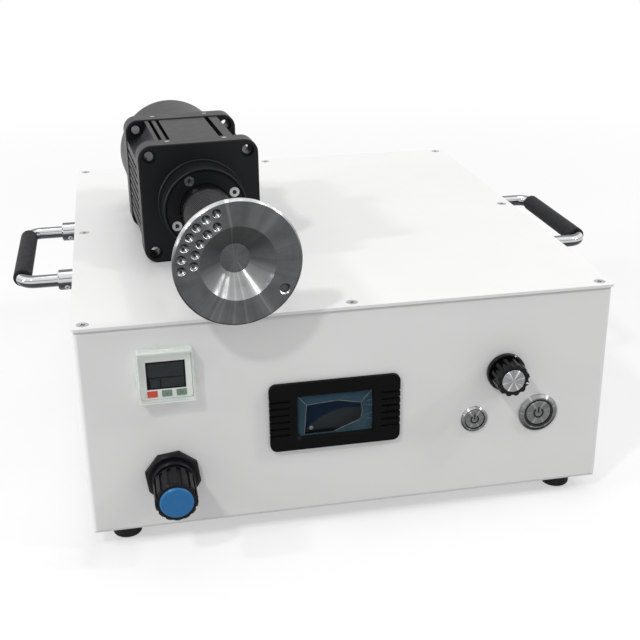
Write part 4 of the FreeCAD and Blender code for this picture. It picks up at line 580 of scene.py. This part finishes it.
# Polyethylene film left on the meter: thin, shiny and creased
FILM = Finish("polyethylene_film", "#3B5A69", 0.2, gloss_swing=0.05, grain_mm=8.0,
              grain_depth_mm=0.01, mottle=0.2, mottle_mm=8, ior=1.51, specular=0.15, alpha=0.55)
FILM_INNER = Finish("polyethylene_film_lying_flat", "#2E363C", 0.3, gloss_swing=0.04,
                    grain_mm=9.0, grain_depth_mm=0.01, mottle=0.2, mottle_mm=9, ior=1.51,
                    specular=0.05, alpha=0.04)
CREASE = Finish("polyethylene_film_crease", "#8B8C88", 0.25, grain_mm=0.8,
                grain_depth_mm=0.02, mottle=0.3, mottle_mm=3, ior=1.51, alpha=0.75)
# Liquid crystal panel, switched off
LCD_OFF = Finish("liquid_crystal_panel", "#2D3134", 0.22, grain_depth_mm=0.002, mottle=0.05,
                 mottle_mm=4, ior=1.52, specular=0.08)
LCD_FRAME = Finish("black_display_glass", "#060708", 0.12, grain_depth_mm=0.002, mottle=0.1,
                   ior=1.52, specular=0.04)
# Silicone and ABS keys
KEY_RED = Finish("red_moulded_abs", "#D2402C", 0.4, grain_mm=0.5, grain_depth_mm=0.006,
                 mottle=0.05, mottle_mm=3, ior=1.52)
KEY_GREEN = Finish("grey_green_moulded_abs", "#74887B", 0.42, grain_mm=0.5,
                   grain_depth_mm=0.006, mottle=0.05, mottle_mm=3, ior=1.52)
PRINT_GREEN = Finish("dark_green_pad_print", "#4C6455", 0.5, mottle=0.1, mottle_mm=2)
# Blue cap of the gas knob: moulded, satin
CAP_BLUE = Finish("blue_moulded_abs", "#1F6BA5", 0.36, grain_mm=0.7, grain_depth_mm=0.006,
                  mottle=0.04, mottle_mm=6, ior=1.52, specular=0.3)
# Smoked plastic light guides in the buttons
SMOKED = Finish("smoked_light_guide", "#16191A", 0.25, grain_depth_mm=0.002, mottle=0.1,
                ior=1.49, specular=0.2)
# White filling of the knob's pointer
POINTER_WHITE = Finish("white_pointer_paint", "#F0F0EE", 0.45, mottle=0.03)
# Painted shade: a dark piece in the recess of a cross-head or socket screw
SHADOW_STEEL = Finish("screw_recess_painted_shade", "#3A3B3C", 0.5, 1.0, mottle=0.2, mottle_mm=1)
# Ceramic round the electrode
CERAMIC = Finish("alumina_ceramic", "#E6E0D2", 0.35, mottle=0.04)
# Bare aluminium of the supply's case
ALUMINIUM = Finish("mill_finish_aluminium", "#B4B6B8", 0.36, 1.0, grain=Grain.BRUSHED,
                   grain_mm=0.6, grain_depth_mm=0.004)
# Varnished laminations and board
LAMINATIONS = Finish("varnished_steel_laminations", "#4A443D", 0.5, 1.0, grain_mm=0.5,
                     grain_depth_mm=0.03, mottle=0.2)
BOARD_GREEN = Finish("green_epoxy_glass_board", "#1E5B3A", 0.35, grain_mm=0.8,
                     grain_depth_mm=0.01, mottle=0.15, mottle_mm=4, ior=1.55)


class Form:
    """Gathers faces in millimetres and turns them into one piece."""

    def __init__(self, place: Matrix) -> None:
        """Start empty, in a frame given by its matrix."""
        self.place = place
        self.mesh = bmesh.new()

    def point(self, x: float, y: float, z: float) -> bmesh.types.BMVert:
        """Add a corner, in the form's own millimetres."""
        return self.mesh.verts.new(self.place @ Vector((x, y, z)))

    def skin(self, rows: list[list[bmesh.types.BMVert]], closed: bool = False) -> None:
        """Join rows of corners with faces.

        Args:
            rows: Rows with as many corners each.
            closed: True to join the last row to the first.
        """
        pairs = list(zip(rows, rows[1:] + rows[:1] if closed else rows[1:]))
        for low, high in pairs:
            for here in range(len(low)):
                after = (here + 1) % len(low)
                self.mesh.faces.new((low[here], low[after], high[after], high[here]))

    def lathe(self, profile: list[tuple[float, float]], sides: int = 96,
              centre: tuple[float, float] = (0.0, 0.0)) -> None:
        """Turn a closed profile of (radius, height) points round the form's Z."""
        rows = []
        for radius, height in profile:
            row = []
            for step in range(sides):
                angle = 2 * math.pi * step / sides
                x = centre[0] + radius * math.cos(angle)
                row.append(self.point(x, centre[1] + radius * math.sin(angle), height))
            rows.append(row)
        self.skin(rows, closed=True)

    def cap(self, rows: list[list[bmesh.types.BMVert]]) -> None:
        """Close the first and last of the rows with a face each."""
        self.mesh.faces.new(list(reversed(rows[0])))
        self.mesh.faces.new(rows[-1])

    def prism(self, outline: list[tuple[float, float]], low: float, high: float) -> None:
        """Raise an outline from one height to another."""
        rows = [[self.point(x, y, level) for x, y in outline] for level in (low, high)]
        self.skin(rows)
        self.cap(rows)

    def tube(self, path: list[tuple[float, float, float]], radius: float,
             sides: int = 8) -> None:
        """Run a thin round bead along a path."""
        rows = []
        points = [Vector(p) for p in path]
        for here, spot in enumerate(points):
            ahead = points[min(here + 1, len(points) - 1)] - points[max(here - 1, 0)]
            across = ahead.cross(Vector((0, 0, 1))).normalized()
            lift = across.cross(ahead).normalized()
            row = []
            for step in range(sides):
                angle = 2 * math.pi * step / sides
                row.append(self.point(*(spot + radius * (across * math.cos(angle)
                                                         + lift * math.sin(angle)))))
            rows.append(row)
        self.skin(rows)
        self.cap(rows)

    def piece(self, name: str, body: str, finish: Finish) -> None:
        """Turn the faces into one piece that rides on a body.

        Args:
            name: The piece's name.
            body: The CAD body that carries it.
            finish: Its finish.
        """
        bmesh.ops.recalc_face_normals(self.mesh, faces=self.mesh.faces)
        data = bpy.data.meshes.new(name)
        self.mesh.to_mesh(data)
        self.mesh.free()
        data.shade_smooth()
        data.set_sharp_from_angle(angle=math.radians(35))
        data.materials.append(finish.material())
        made = bpy.data.objects.new(name, data)
        bpy.context.scene.collection.objects.link(made)
        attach(made, body)
        LOG.info("piece %s on %s", name, body)


def dress(finish: Finish, *names: str) -> None:
    """Give CAD nodes a finish.

    Args:
        finish: The finish.
        names: The nodes.
    """
    for name in names:
        data = frame["nodes"][name].data
        data.materials.clear()
        data.materials.append(finish.material())
        data.shade_smooth()
        data.set_sharp_from_angle(angle=math.radians(30))
        LOG.info("node %s in %s", name, finish.name)


def turned(name: str, colour: str, roughness: float, centre: Vector, axis: Vector,
           **settings: float) -> Turned:
    """Name a lathe finish for one round piece."""
    return Turned(name, colour, roughness, 1.0, centre=tuple(centre), axis=tuple(axis), **settings)


def arc(radius: float, start: float, end: float, steps: int) -> list[tuple[float, float]]:
    """Give points along an arc.

    Args:
        radius: The arc's radius.
        start: Its first angle in degrees.
        end: Its last angle in degrees.
        steps: How many stretches it has.

    Returns:
        The points.
    """
    angles = [math.radians(start + (end - start) * step / steps) for step in range(steps + 1)]
    return [(radius * math.cos(a), radius * math.sin(a)) for a in angles]


@dataclass
class Cabinet:
    """The folded cabinet, its lid, feet and screws."""

    cross_length: float = 3.4
    cross_width: float = 0.9
    cross_height: float = 0.05
    screw_radius: float = 3.8
    cross_turns: tuple[float, float, float] = (17.0, 31.0, 47.0)

    def dress(self) -> None:
        """Finish the sheet, screws and feet."""
        dress(POWDER_WHITE, "base_tray", "front_panel", "rear_panel", "lid_plate")
        dress(ZINC, "lid_screws")
        dress(RUBBER, "rubber_feet")

    def build(self) -> None:
        """Mark the cross recess of each lid screw with a dark cross of painted shade."""
        low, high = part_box("lid_screws")
        half = self.cross_length / 2
        arm = self.cross_width / 2
        cross = [(arm, arm), (half, arm), (half, -arm), (arm, -arm), (arm, -half), (-arm, -half),
                 (-arm, -arm), (-half, -arm), (-half, arm), (-arm, arm), (-arm, half), (arm, half)]
        across = (high.x - low.x) / MM / 2 - self.screw_radius
        along = (high.y - low.y) / MM / 2 - self.screw_radius
        start, by_column, by_row = self.cross_turns
        place = Matrix.Translation(((low.x + high.x) / 2, (low.y + high.y) / 2, high.z))
        form = Form(place @ Matrix.Scale(MM, 4))
        for x in (-1, 0, 1):
            for y in (-1, 0, 1):
                if x or y:
                    turn = Matrix.Rotation(math.radians(start + by_column * x + by_row * y), 2)
                    spot = Vector((x * across, y * along))
                    outline = [tuple(turn @ Vector(corner) + spot) for corner in cross]
                    form.prism(outline, -self.cross_height, self.cross_height / 2)
        form.piece("lid_screw_crosses_painted_shade", "cabinet", SHADOW_STEEL)


@dataclass
class Handles:
    """The two tube handles with their rubber grips."""

    grub_width: float = 4.0
    socket_width: float = 1.5
    grub_reach: float = 0.35
    grub_inset: float = 6.5
    grub_turn: float = 118.0

    def dress(self) -> None:
        """Finish the tubes, ferrules and grips."""
        dress(CHROME, "left_handle", "right_handle", "handle_ferrules")
        dress(RUBBER, "left_grip", "right_grip")

    def build(self) -> None:
        """Add the grub screw in each ferrule."""
        low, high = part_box("handle_ferrules")
        level = (low.z + high.z) / 2
        radius = (high.z - low.z) / 2 / MM
        scale = Matrix.Scale(MM, 4)
        turn = Matrix.Rotation(math.radians(self.grub_turn), 4, "X")
        half, socket = self.grub_width / 2, self.socket_width / 2
        top = radius + self.grub_reach
        heads = Form(scale)
        for side in (low.x + self.grub_inset * MM, high.x - self.grub_inset * MM):
            for depth in (low.y + radius * MM, high.y - radius * MM):
                heads.place = Matrix.Translation((side, depth, level)) @ turn @ scale
                heads.lathe([(socket, radius - 1), (half, radius - 1), (half, top - 0.2),
                             (half - 0.3, top), (socket, top), (socket, top - 0.25)], 32)
        heads.piece("ferrule_grub_screws", "cabinet", ZINC)


@dataclass
class Meter:
    """The panel meter with its creased film."""

    film_width: float = 51.4
    film_height: float = 30.0
    film_lift: float = 0.05
    crease_lift: float = 0.75
    bead: float = 0.16
    mark_x: float = -25.3
    mark_y: float = -15.6
    mark_width: float = 3.6
    # Where the display is painted grey for scattered light: its centre across and down from the
    # bezel's middle, and its radius, in millimetres.
    painted_scatter_patch: tuple[float, float, float] = (10.65, -41.1, 42.1)
    creases: dict[str, tuple[float, float]] = field(default_factory=lambda: {
        "a": (0.116, 0.235), "b": (0.53, 0.18), "c": (0.84, 0.29), "d": (0.86, 0.49),
        "e": (0.835, 0.71), "f": (0.49, 0.955), "g": (0.085, 0.965)})

    def dress(self) -> None:
        """Finish the housing, window, display and key."""
        dress(ABS_BLACK, "meter_bezel", "meter_key")
        dress(ACRYLIC, "meter_window")
        # The display's lower right is painted grey for the light that scatters there.
        spot = middle("meter_bezel")
        x, z, reach = self.painted_scatter_patch
        display = ScatterPaintedDisplay("blue_liquid_crystal_panel", "#0A2036", 0.2, mottle=0.05,
                          centre=(spot.x + x * MM, 0.0, spot.z + z * MM), reach_mm=reach,
                          second="#2F3336", specular=0.05)
        dress(display, "meter_display")

    def corner(self, u: float, v: float, lift: float) -> tuple[float, float, float]:
        """Turn shares across and down the film into a point in millimetres."""
        return ((u - 0.5) * self.film_width, (0.5 - v) * self.film_height, lift)

    def build(self) -> None:
        """Lay the film over the window: facets, crease lines and a bubble."""
        place = front("meter_window")
        spots = {name: self.corner(*at, self.crease_lift) for name, at in self.creases.items()}
        spots["f"] = self.corner(*self.creases["f"], self.film_lift)
        spots["g"] = self.corner(*self.creases["g"], self.film_lift)
        for name, u, v in (("tl", 0, 0), ("tr", 1, 0), ("br", 1, 1), ("bl", 0, 1)):
            spots[name] = self.corner(u, v, self.film_lift)
        sides = [("tl", "tr", "c", "b", "a"), ("tl", "a", "g", "bl"), ("tr", "br", "e", "d", "c"),
                 ("e", "br", "f"), ("f", "br", "bl", "g")]
        rim = Form(place)
        for names in sides:
            rim.mesh.faces.new([rim.point(*spots[name]) for name in names])
        rim.piece("meter_film_sides", "cabinet", FILM)
        flat = Form(place)
        flat.mesh.faces.new([flat.point(*spots[name]) for name in "abcdefg"])
        flat.piece("meter_film_middle", "cabinet", FILM_INNER)
        lines = Form(place)
        for path in (("tl", "a", "b", "c", "d", "e", "f"), ("tr", "c"), ("a", "g")):
            lines.tube([spots[name] for name in path], self.bead)
        for level in (0.33, 0.66):
            loop = []
            for step in range(9):
                along = step / 8
                loop.append(self.corner(1.0 - 0.12 * math.sin(math.pi * along),
                                        level + 0.16 * (along - 0.5), self.film_lift + 0.2))
            lines.tube(loop, self.bead / 2)
        lines.piece("meter_film_creases", "cabinet", CREASE)
        bubble = Form(place)
        x, y, _ = self.corner(0.175, 0.82, 0)
        dome = [(0.02, 0.9), (0.7, 0.8), (1.2, 0.5), (1.45, 0.1), (1.3, 0.0), (0.02, 0.0)]
        bubble.lathe(dome, 32, (x, y))
        bubble.piece("meter_film_bubble", "cabinet", CREASE)
        mark = Form(front("meter_bezel"))
        half = self.mark_width / 2
        mark.lathe([(0.02, -0.3), (half, -0.3), (half, 0.04), (half - 0.25, 0.08),
                    (half - 0.5, 0.02), (0.02, 0.02)], 40, (self.mark_x, self.mark_y))
        mark.piece("meter_sensor_plug", "cabinet", NYLON_BLACK)


@dataclass
class PressureSwitch:
    """The digital pressure switch under its clear cover."""

    border: float = 1.1
    zone_lift: float = 0.05
    split_level: float = -1.5
    split_across: float = -3.7
    split_gap: float = 0.8
    zone_inset: float = 1.4
    triangle: float = 1.0

    def dress(self) -> None:
        """Finish the body, display, keys and cover."""
        dress(ABS_WHITE, "switch_body")
        dress(LCD_FRAME, "switch_display")
        low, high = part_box("switch_cover")
        # The cover's edge carries a painted highlight in the wall colour.
        cover = Edged("clear_polycarbonate", "#E6F2EA", 0.06, gloss_swing=0.02, grain_mm=6.0,
                      grain_depth_mm=0.002, mottle=0.005, ior=1.58, alpha=0.006,
                      wall="#F4FBF7", centre=tuple((low + high) / 2),
                      half_mm=(high.z - low.z) / 2 / MM)
        dress(cover, "switch_cover")
        dress(KEY_RED, "switch_key_set")
        dress(KEY_GREEN, "switch_key_up", "switch_key_down")

    def zone(self, form: Form, left: float, right: float, low: float, high: float) -> None:
        """Raise one zone of the display."""
        form.prism([(left, low), (right, low), (right, high), (left, high)], -0.1, self.zone_lift)

    def build(self) -> None:
        """Add the display's zones and the marks on the keys."""
        low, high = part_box("switch_display")
        wide = (high.x - low.x) / MM / 2 - self.border
        tall = (high.z - low.z) / MM / 2 - self.border
        form = Form(front("switch_display"))
        gap = self.split_gap / 2
        self.zone(form, -wide, wide, self.split_level + gap, tall)
        self.zone(form, self.zone_inset - wide, self.split_across - gap, -tall,
                  self.split_level - gap)
        self.zone(form, self.split_across + gap, wide, -tall, self.split_level - gap)
        form.piece("switch_display_zones", "cabinet", LCD_OFF)
        for name, way in (("up", 1), ("down", -1)):
            mark = Form(front("switch_key_" + name))
            side = self.triangle
            mark.prism([(-side, -0.5 * way * side), (side, -0.5 * way * side),
                        (0, 0.7 * way * side)][::way], -0.05, 0.06)
            mark.piece("key_mark_" + name, name + "_key_unit", PRINT_GREEN)


@dataclass
class PushButton:
    """One stainless push button with its symbol.

    Args:
        name: Start of its nodes' names.
        body: The body that its cap rides on.
        symbol: Outer radius of the power symbol.
        stroke: Width of the symbol's stroke.
        ring: Inner and outer radius of the dark ring round the cap, if it has one.
    """

    name: str
    body: str
    symbol: float
    stroke: float
    ring: tuple[float, float] | None = None
    lift: float = 0.04
    # Painted highlight rays: the angle in degrees and how far each lightens the steel.
    rays: tuple = ((62, 1.5), (120, 1.1), (-62, 0.9), (-117, 1.2), (176, 0.6), (20, 0.6))

    def dress(self) -> None:
        """Finish the head and the cap as turned steel."""
        centre = middle(self.name + "_body")
        # The steel carries painted highlight rays, painted highlight on bevels facing up and
        # painted shade on bevels facing down.
        metal = turned("turned_stainless_" + self.name, "#727474", 0.36, centre, FRONT,
                       ring_mm=0.4, rays=self.rays, ray_width=0.07, polish="#C6C7C7")
        dress(metal, self.name + "_body", self.name + "_cap")

    def build(self) -> None:
        """Let the symbol and the ring into the steel."""
        form = Form(front(self.name + "_cap"))
        outer = arc(self.symbol, 122, 418, 28)
        inner = arc(self.symbol - self.stroke, 418, 122, 28)
        rows = [[form.point(x, y, z) for z in (-0.2, self.lift)] for x, y in outer]
        backs = [[form.point(x, y, z) for z in (-0.2, self.lift)] for x, y in reversed(inner)]
        for here in range(len(rows) - 1):
            near, far = rows[here], rows[here + 1]
            left, right = backs[here], backs[here + 1]
            form.mesh.faces.new((near[0], far[0], far[1], near[1]))
            form.mesh.faces.new((near[1], far[1], right[1], left[1]))
            form.mesh.faces.new((left[1], right[1], right[0], left[0]))
        for near, far in ((rows[0], backs[0]), (rows[-1], backs[-1])):
            form.mesh.faces.new((near[0], near[1], far[1], far[0]))
        half = self.stroke / 2
        form.prism([(-half, -0.1), (half, -0.1), (half, self.symbol * 1.15),
                    (-half, self.symbol * 1.15)], -0.2, self.lift)
        form.piece(self.name + "_symbol", self.body, SMOKED)
        if self.ring:
            band = Form(front(self.name + "_body"))
            inner_reach, outer_reach = self.ring
            band.lathe([(inner_reach, -0.3), (outer_reach, -0.3), (outer_reach, self.lift),
                        (inner_reach, self.lift)], 96)
            band.piece(self.name + "_light_ring", "cabinet", SMOKED)


@dataclass
class PowerKnob:
    """The fluted power knob with its turned cap and white pointer."""

    pointer_angle: float = -15.0
    pointer_width: float = 1.1
    inner: float = 9.6
    outer: float = 11.45
    drop: float = 12.0
    lift: float = 0.05
    thickness: float = 0.3
    # Painted highlight rays: the angle in degrees and how far each lightens the cap.
    rays: tuple = ((62, 1.6), (13, 0.9), (-36, 0.6), (-62, 1.4), (-117, 1.6), (-168, 0.8),
                   (118, 1.4), (142, 0.6))

    def dress(self) -> None:
        """Finish the knob, its cap, nut and shaft."""
        centre = middle("power_knob_cap")
        # The cap carries painted highlight rays, painted highlight on bevels facing up and painted
        # shade on bevels facing down.
        cap = turned("turned_aluminium_knob_cap", "#949697", 0.36, centre, FRONT,
                     ring_mm=0.35, rays=self.rays, ray_width=0.12)
        dress(PHENOLIC, "power_knob")
        dress(cap, "power_knob_cap")
        dress(STAINLESS, "pot_shaft", "panel_nuts", "power_pot")

    def build(self) -> None:
        """Fill the pointer's groove with white, over the edge and down the side."""
        turn = Matrix.Rotation(math.radians(self.pointer_angle), 4, "Z")
        form = Form(front("power_knob") @ turn)
        half = self.pointer_width / 2
        rows = []
        for radius, height in ((self.inner, self.lift), (self.outer - 0.1, self.lift),
                               (self.outer + self.lift, -0.1), (self.outer + 0.4, -self.drop)):
            inner, below = radius - self.thickness, height - self.thickness
            rows.append([form.point(radius, -half, height), form.point(radius, half, height),
                         form.point(inner, half, below), form.point(inner, -half, below)])
        form.skin(rows)
        form.cap(rows)
        form.piece("power_knob_pointer", "power_knob_unit", POINTER_WHITE)


@dataclass
class Regulator:
    """The panel gas regulator."""

    def dress(self) -> None:
        """Finish the bonnet, nut, knob and cap."""
        dress(NYLON_BLACK, "regulator_body", "regulator_nut", "regulator_knob")
        dress(CAP_BLUE, "regulator_cap")
        dress(GROUND_STEEL, "regulator_spindle")


@dataclass
class PlasmaHead:
    """The plasma head's housing and its rotating nozzle."""

    thread_start: float = 31.3
    thread_end: float = 124.6
    thread_pitch: float = 3.1
    thread_root: float = 17.14
    thread_crest: float = 17.7
    socket_reach: float = 23.4
    socket_angle: float = 27.0
    socket_radius: float = 1.45
    socket_level: float = 19.3
    socket_depth: float = 0.4
    # Painted highlight rays: the angle in degrees and how far each lightens the disc.
    rays: tuple = ((51, 1.4), (98, 0.7), (128, 0.6), (4, 0.3), (-27, 0.8), (-31, 1.2),
                   (-42, 0.9), (-60, 1.6), (-84, 0.5), (-97, 0.4), (-112, 0.7), (-119, 1.2),
                   (-127, 0.8))
    spin: dict = field(default_factory=lambda: next(
        joint for joint in frame["joints"] if joint["name"] == "nozzle_spin"))

    def place(self) -> Matrix:
        """Give the head's frame: Z leaves the front flange."""
        axis = self.spin["axis"]
        return facing(Vector(self.spin["pos_m"]), math.degrees(math.atan2(axis[0], -axis[1])))

    def dress(self) -> None:
        """Finish the housing, screws, bearings and nozzle."""
        dress(ANODISED_BLACK, "head_front_flange", "head_barrel", "head_rear_flange",
              "head_rear_cover", "head_bearing_cap")
        dress(BLACKED_STEEL, "nozzle_shaft")
        dress(ZINC, "bearing_cap_screws", "flange_screws")
        dress(GROUND_STEEL, "head_bearings", "motor_stator")
        dress(CERAMIC, "electrode")
        dress(NYLON_BLACK, "head_cable_gland")
        dress(NICKEL, "head_gas_nipple")
        # The disc carries painted highlight rays, painted highlight on its rim, and painted light
        # and shade on its cone.
        disc = Dished("turned_steel_nozzle_disc", "#5C5E5F", 0.38, 1.0, cone_painted_light="#AEB0B0",
                      cone_painted_shade="#464848", centre=tuple(self.spin["pos_m"]),
                      axis=tuple(self.spin["axis"]), ring_mm=0.6, rays=self.rays,
                      ray_width=0.042, polish="#DCDDDD")
        dress(disc, "nozzle_disc", "nozzle_tip")

    def build(self) -> None:
        """Add dark hexagons of painted shade in the cap screws' sockets, and the thread round the
        nozzle's neck.

        The thread is drawn coarser than its 1.5 mm pitch.
        """
        sockets = Form(self.place())
        hexagon = arc(self.socket_radius, 0, 300, 5)
        for x, y in arc(self.socket_reach, self.socket_angle, self.socket_angle + 270, 3):
            sockets.prism([(x + across, y + up) for across, up in hexagon],
                          self.socket_level - self.socket_depth, self.socket_level)
        sockets.piece("cap_screw_sockets_painted_shade", "head_unit", SHADOW_STEEL)
        form = Form(self.place())
        turns = int((self.thread_end - self.thread_start) / self.thread_pitch)
        profile = [(self.thread_root - 0.1, self.thread_start)]
        for step in range(turns):
            start = self.thread_start + step * self.thread_pitch
            profile.append((self.thread_root, start))
            profile.append((self.thread_crest, start + self.thread_pitch * 0.4))
            profile.append((self.thread_crest, start + self.thread_pitch * 0.6))
        end = self.thread_start + turns * self.thread_pitch
        profile += [(self.thread_root, end), (self.thread_root - 0.1, end)]
        form.lathe(profile, 80)
        thread = Threaded("blackened_steel_thread", "#0A0B0C", 0.3, ior=1.5, specular=0.12,
                          centre=tuple(self.spin["pos_m"]), axis=tuple(self.spin["axis"]),
                          stretch=0.0, crest="#404142")
        form.piece("nozzle_neck_thread", "nozzle_unit", thread)


@dataclass
class RearPanel:
    """The fittings on the rear panel."""

    fan_screw_pitch: float = 71.5
    screw_width: float = 7.0
    screw_height: float = 2.2

    def dress(self) -> None:
        """Finish the inlet, fan, unions and socket."""
        dress(ABS_BLACK, "mains_inlet", "fuse_drawer", "fan_frame", "fan_rotor")
        dress(NICKEL, "gas_fittings", "head_socket")

    def build(self) -> None:
        """Add the fan's four screws."""
        centre = middle("fan_frame")
        centre.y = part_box("rear_panel")[1].y
        form = Form(facing(centre, 180))
        half = self.fan_screw_pitch / 2
        wide = self.screw_width / 2
        dome = [(0.02, self.screw_height), (wide * 0.45, self.screw_height * 0.93),
                (wide * 0.8, self.screw_height * 0.6), (wide, 0.1), (wide, -0.1), (0.02, -0.1)]
        for x in (-half, half):
            for y in (-half, half):
                form.lathe(dome, 32, (x, y))
        form.piece("fan_screws", "cabinet", ZINC)


@dataclass
class Interior:
    """What the closed cabinet holds."""

    def dress(self) -> None:
        """Finish the modules."""
        dress(ALUMINIUM, "power_supply")
        dress(LAMINATIONS, "hv_transformer")
        dress(BOARD_GREEN, "control_board")
        dress(NICKEL, "solenoid_valve")


@dataclass
class Studio:
    """Camera, floor and light."""

    camera_mm: tuple[float, float, float] = (-143.56, -822.85, 419.85)
    yaw: float = 10.83
    pitch: float = 22.48
    roll: float = -0.785
    lens: float = 60.29
    sensor: float = 36.0
    floor_size: float = 30.0
    floor_glow: float = 0.5
    glow_start: float = 0.45
    glow_end: float = 1.3
    room_light: float = 0.5
    paper_lit: str = "#B4B4B4"
    paper_seen: str = "#F6F6F6"
    lamps_aim: tuple[float, float, float] = (0.0, 0.0, 0.1)
    lamps: tuple = (
        ("right_lamp", (1.89, -0.69, 1.31), 0.18, 8.5),
        ("right_top_lamp", (1.43, -0.67, 1.81), 0.18, 6.5),
        ("front_top_lamp", (-1.03, -1.23, 1.78), 0.18, 12.0),
        ("left_top_lamp", (-1.89, -0.33, 1.44), 0.18, 9.5),
        ("left_lamp", (-2.26, -0.40, 0.70), 0.18, 10.0),
        ("ceiling_lamp", (0.3, 0.4, 2.6), 1.4, 10.0))

    def build(self) -> None:
        """Set the camera, floor, lamps and world."""
        self.set_camera()
        self.set_floor()
        self.set_world()
        for name, spot, size, power in self.lamps:
            light = bpy.data.lights.new(name, "AREA")
            light.shape = "DISK"
            light.size = size
            light.energy = power
            lamp = bpy.data.objects.new(name, light)
            lamp.location = spot
            aim = Vector(self.lamps_aim) - Vector(spot)
            lamp.rotation_euler = aim.to_track_quat("-Z", "Y").to_euler()
            bpy.context.scene.collection.objects.link(lamp)

    def set_camera(self) -> None:
        """Stand the camera where the photograph was taken."""
        yaw, pitch, roll = (math.radians(a) for a in (self.yaw, self.pitch, self.roll))
        ahead = Vector((math.sin(yaw) * math.cos(pitch), math.cos(yaw) * math.cos(pitch),
                        -math.sin(pitch)))
        right = Vector((math.cos(yaw), -math.sin(yaw), 0))
        up = right.cross(ahead)
        across = right * math.cos(roll) + up * math.sin(roll)
        upward = up * math.cos(roll) - right * math.sin(roll)
        turn = Matrix((across, upward, -ahead)).transposed()
        data = bpy.data.cameras.new("camera")
        data.lens = self.lens
        data.sensor_width = self.sensor
        data.clip_start = 0.01
        camera = bpy.data.objects.new("camera", data)
        camera.matrix_world = Matrix.Translation(Vector(self.camera_mm) * MM) @ turn.to_4x4()
        bpy.context.scene.collection.objects.link(camera)
        bpy.context.scene.camera = camera

    def set_floor(self) -> None:
        """Lay the pale floor, which shows white and keeps the object's shadow."""
        form = bmesh.new()
        bmesh.ops.create_grid(form, x_segments=1, y_segments=1, size=self.floor_size / 2)
        data = bpy.data.meshes.new("floor")
        form.to_mesh(data)
        form.free()
        material = bpy.data.materials.new("pale_studio_paper")
        material.use_nodes = True
        tree = material.node_tree
        tree.nodes.clear()
        seen = self.seen(tree)
        tint = ramp(tree, seen, (0.0, self.paper_lit), (1.0, self.paper_seen))
        paper = node(tree, "ShaderNodeBsdfDiffuse", {"Color": tint})
        glow = node(tree, "ShaderNodeEmission", {"Color": linear(WHITE)})
        place = node(tree, "ShaderNodeTexCoord").outputs["Object"]
        share = spread(tree, vectors(tree, "LENGTH", place), self.glow_start, self.glow_end,
                       self.floor_glow, 1.0)
        share = maths(tree, "MULTIPLY", share, seen)
        mix = node(tree, "ShaderNodeMixShader", {
            0: share, 1: paper.outputs[0], 2: glow.outputs[0]})
        node(tree, "ShaderNodeOutputMaterial", {"Surface": mix.outputs[0]})
        data.materials.append(material)
        floor = bpy.data.objects.new("floor", data)
        bpy.context.scene.collection.objects.link(floor)

    def seen(self, tree: Tree) -> Socket:
        """Give 1 where the camera, a mirror or a window looks, and 0 for other light."""
        sight = node(tree, "ShaderNodeLightPath").outputs
        mirror = maths(tree, "MAXIMUM", sight["Is Glossy Ray"], sight["Is Transmission Ray"])
        return maths(tree, "MAXIMUM", sight["Is Camera Ray"], mirror)

    def set_world(self) -> None:
        """Light the object from a pale room that is white where it is seen."""
        world = bpy.data.worlds.new("studio")
        bpy.context.scene.world = world
        world.use_nodes = True
        tree = world.node_tree
        tree.nodes.clear()
        soft = node(tree, "ShaderNodeBackground", {
            "Color": linear(WHITE), "Strength": self.room_light})
        white = node(tree, "ShaderNodeBackground", {"Color": linear(WHITE)})
        mix = node(tree, "ShaderNodeMixShader", {
            0: self.seen(tree), 1: soft.outputs[0], 2: white.outputs[0]})
        node(tree, "ShaderNodeOutputWorld", {"Surface": mix.outputs[0]})


def main() -> None:
    """Dress the frame, build the fine pieces and light them."""
    logging.basicConfig(level=logging.INFO, format="%(name)s: %(message)s")
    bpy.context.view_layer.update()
    assemblies = (
        Cabinet(), Handles(), Meter(), PressureSwitch(),
        PushButton("start_button", "start_cap_unit", 3.2, 1.15),
        PushButton("power_button", "power_cap_unit", 3.9, 1.3, (9.45, 10.65)),
        PowerKnob(), Regulator(), PlasmaHead(), RearPanel(), Interior())
    for assembly in assemblies:
        assembly.dress()
        if hasattr(assembly, "build"):
            assembly.build()
    Studio().build()
    bpy.context.scene.view_settings.view_transform = "Standard"


if __name__ == "__main__":
    main()
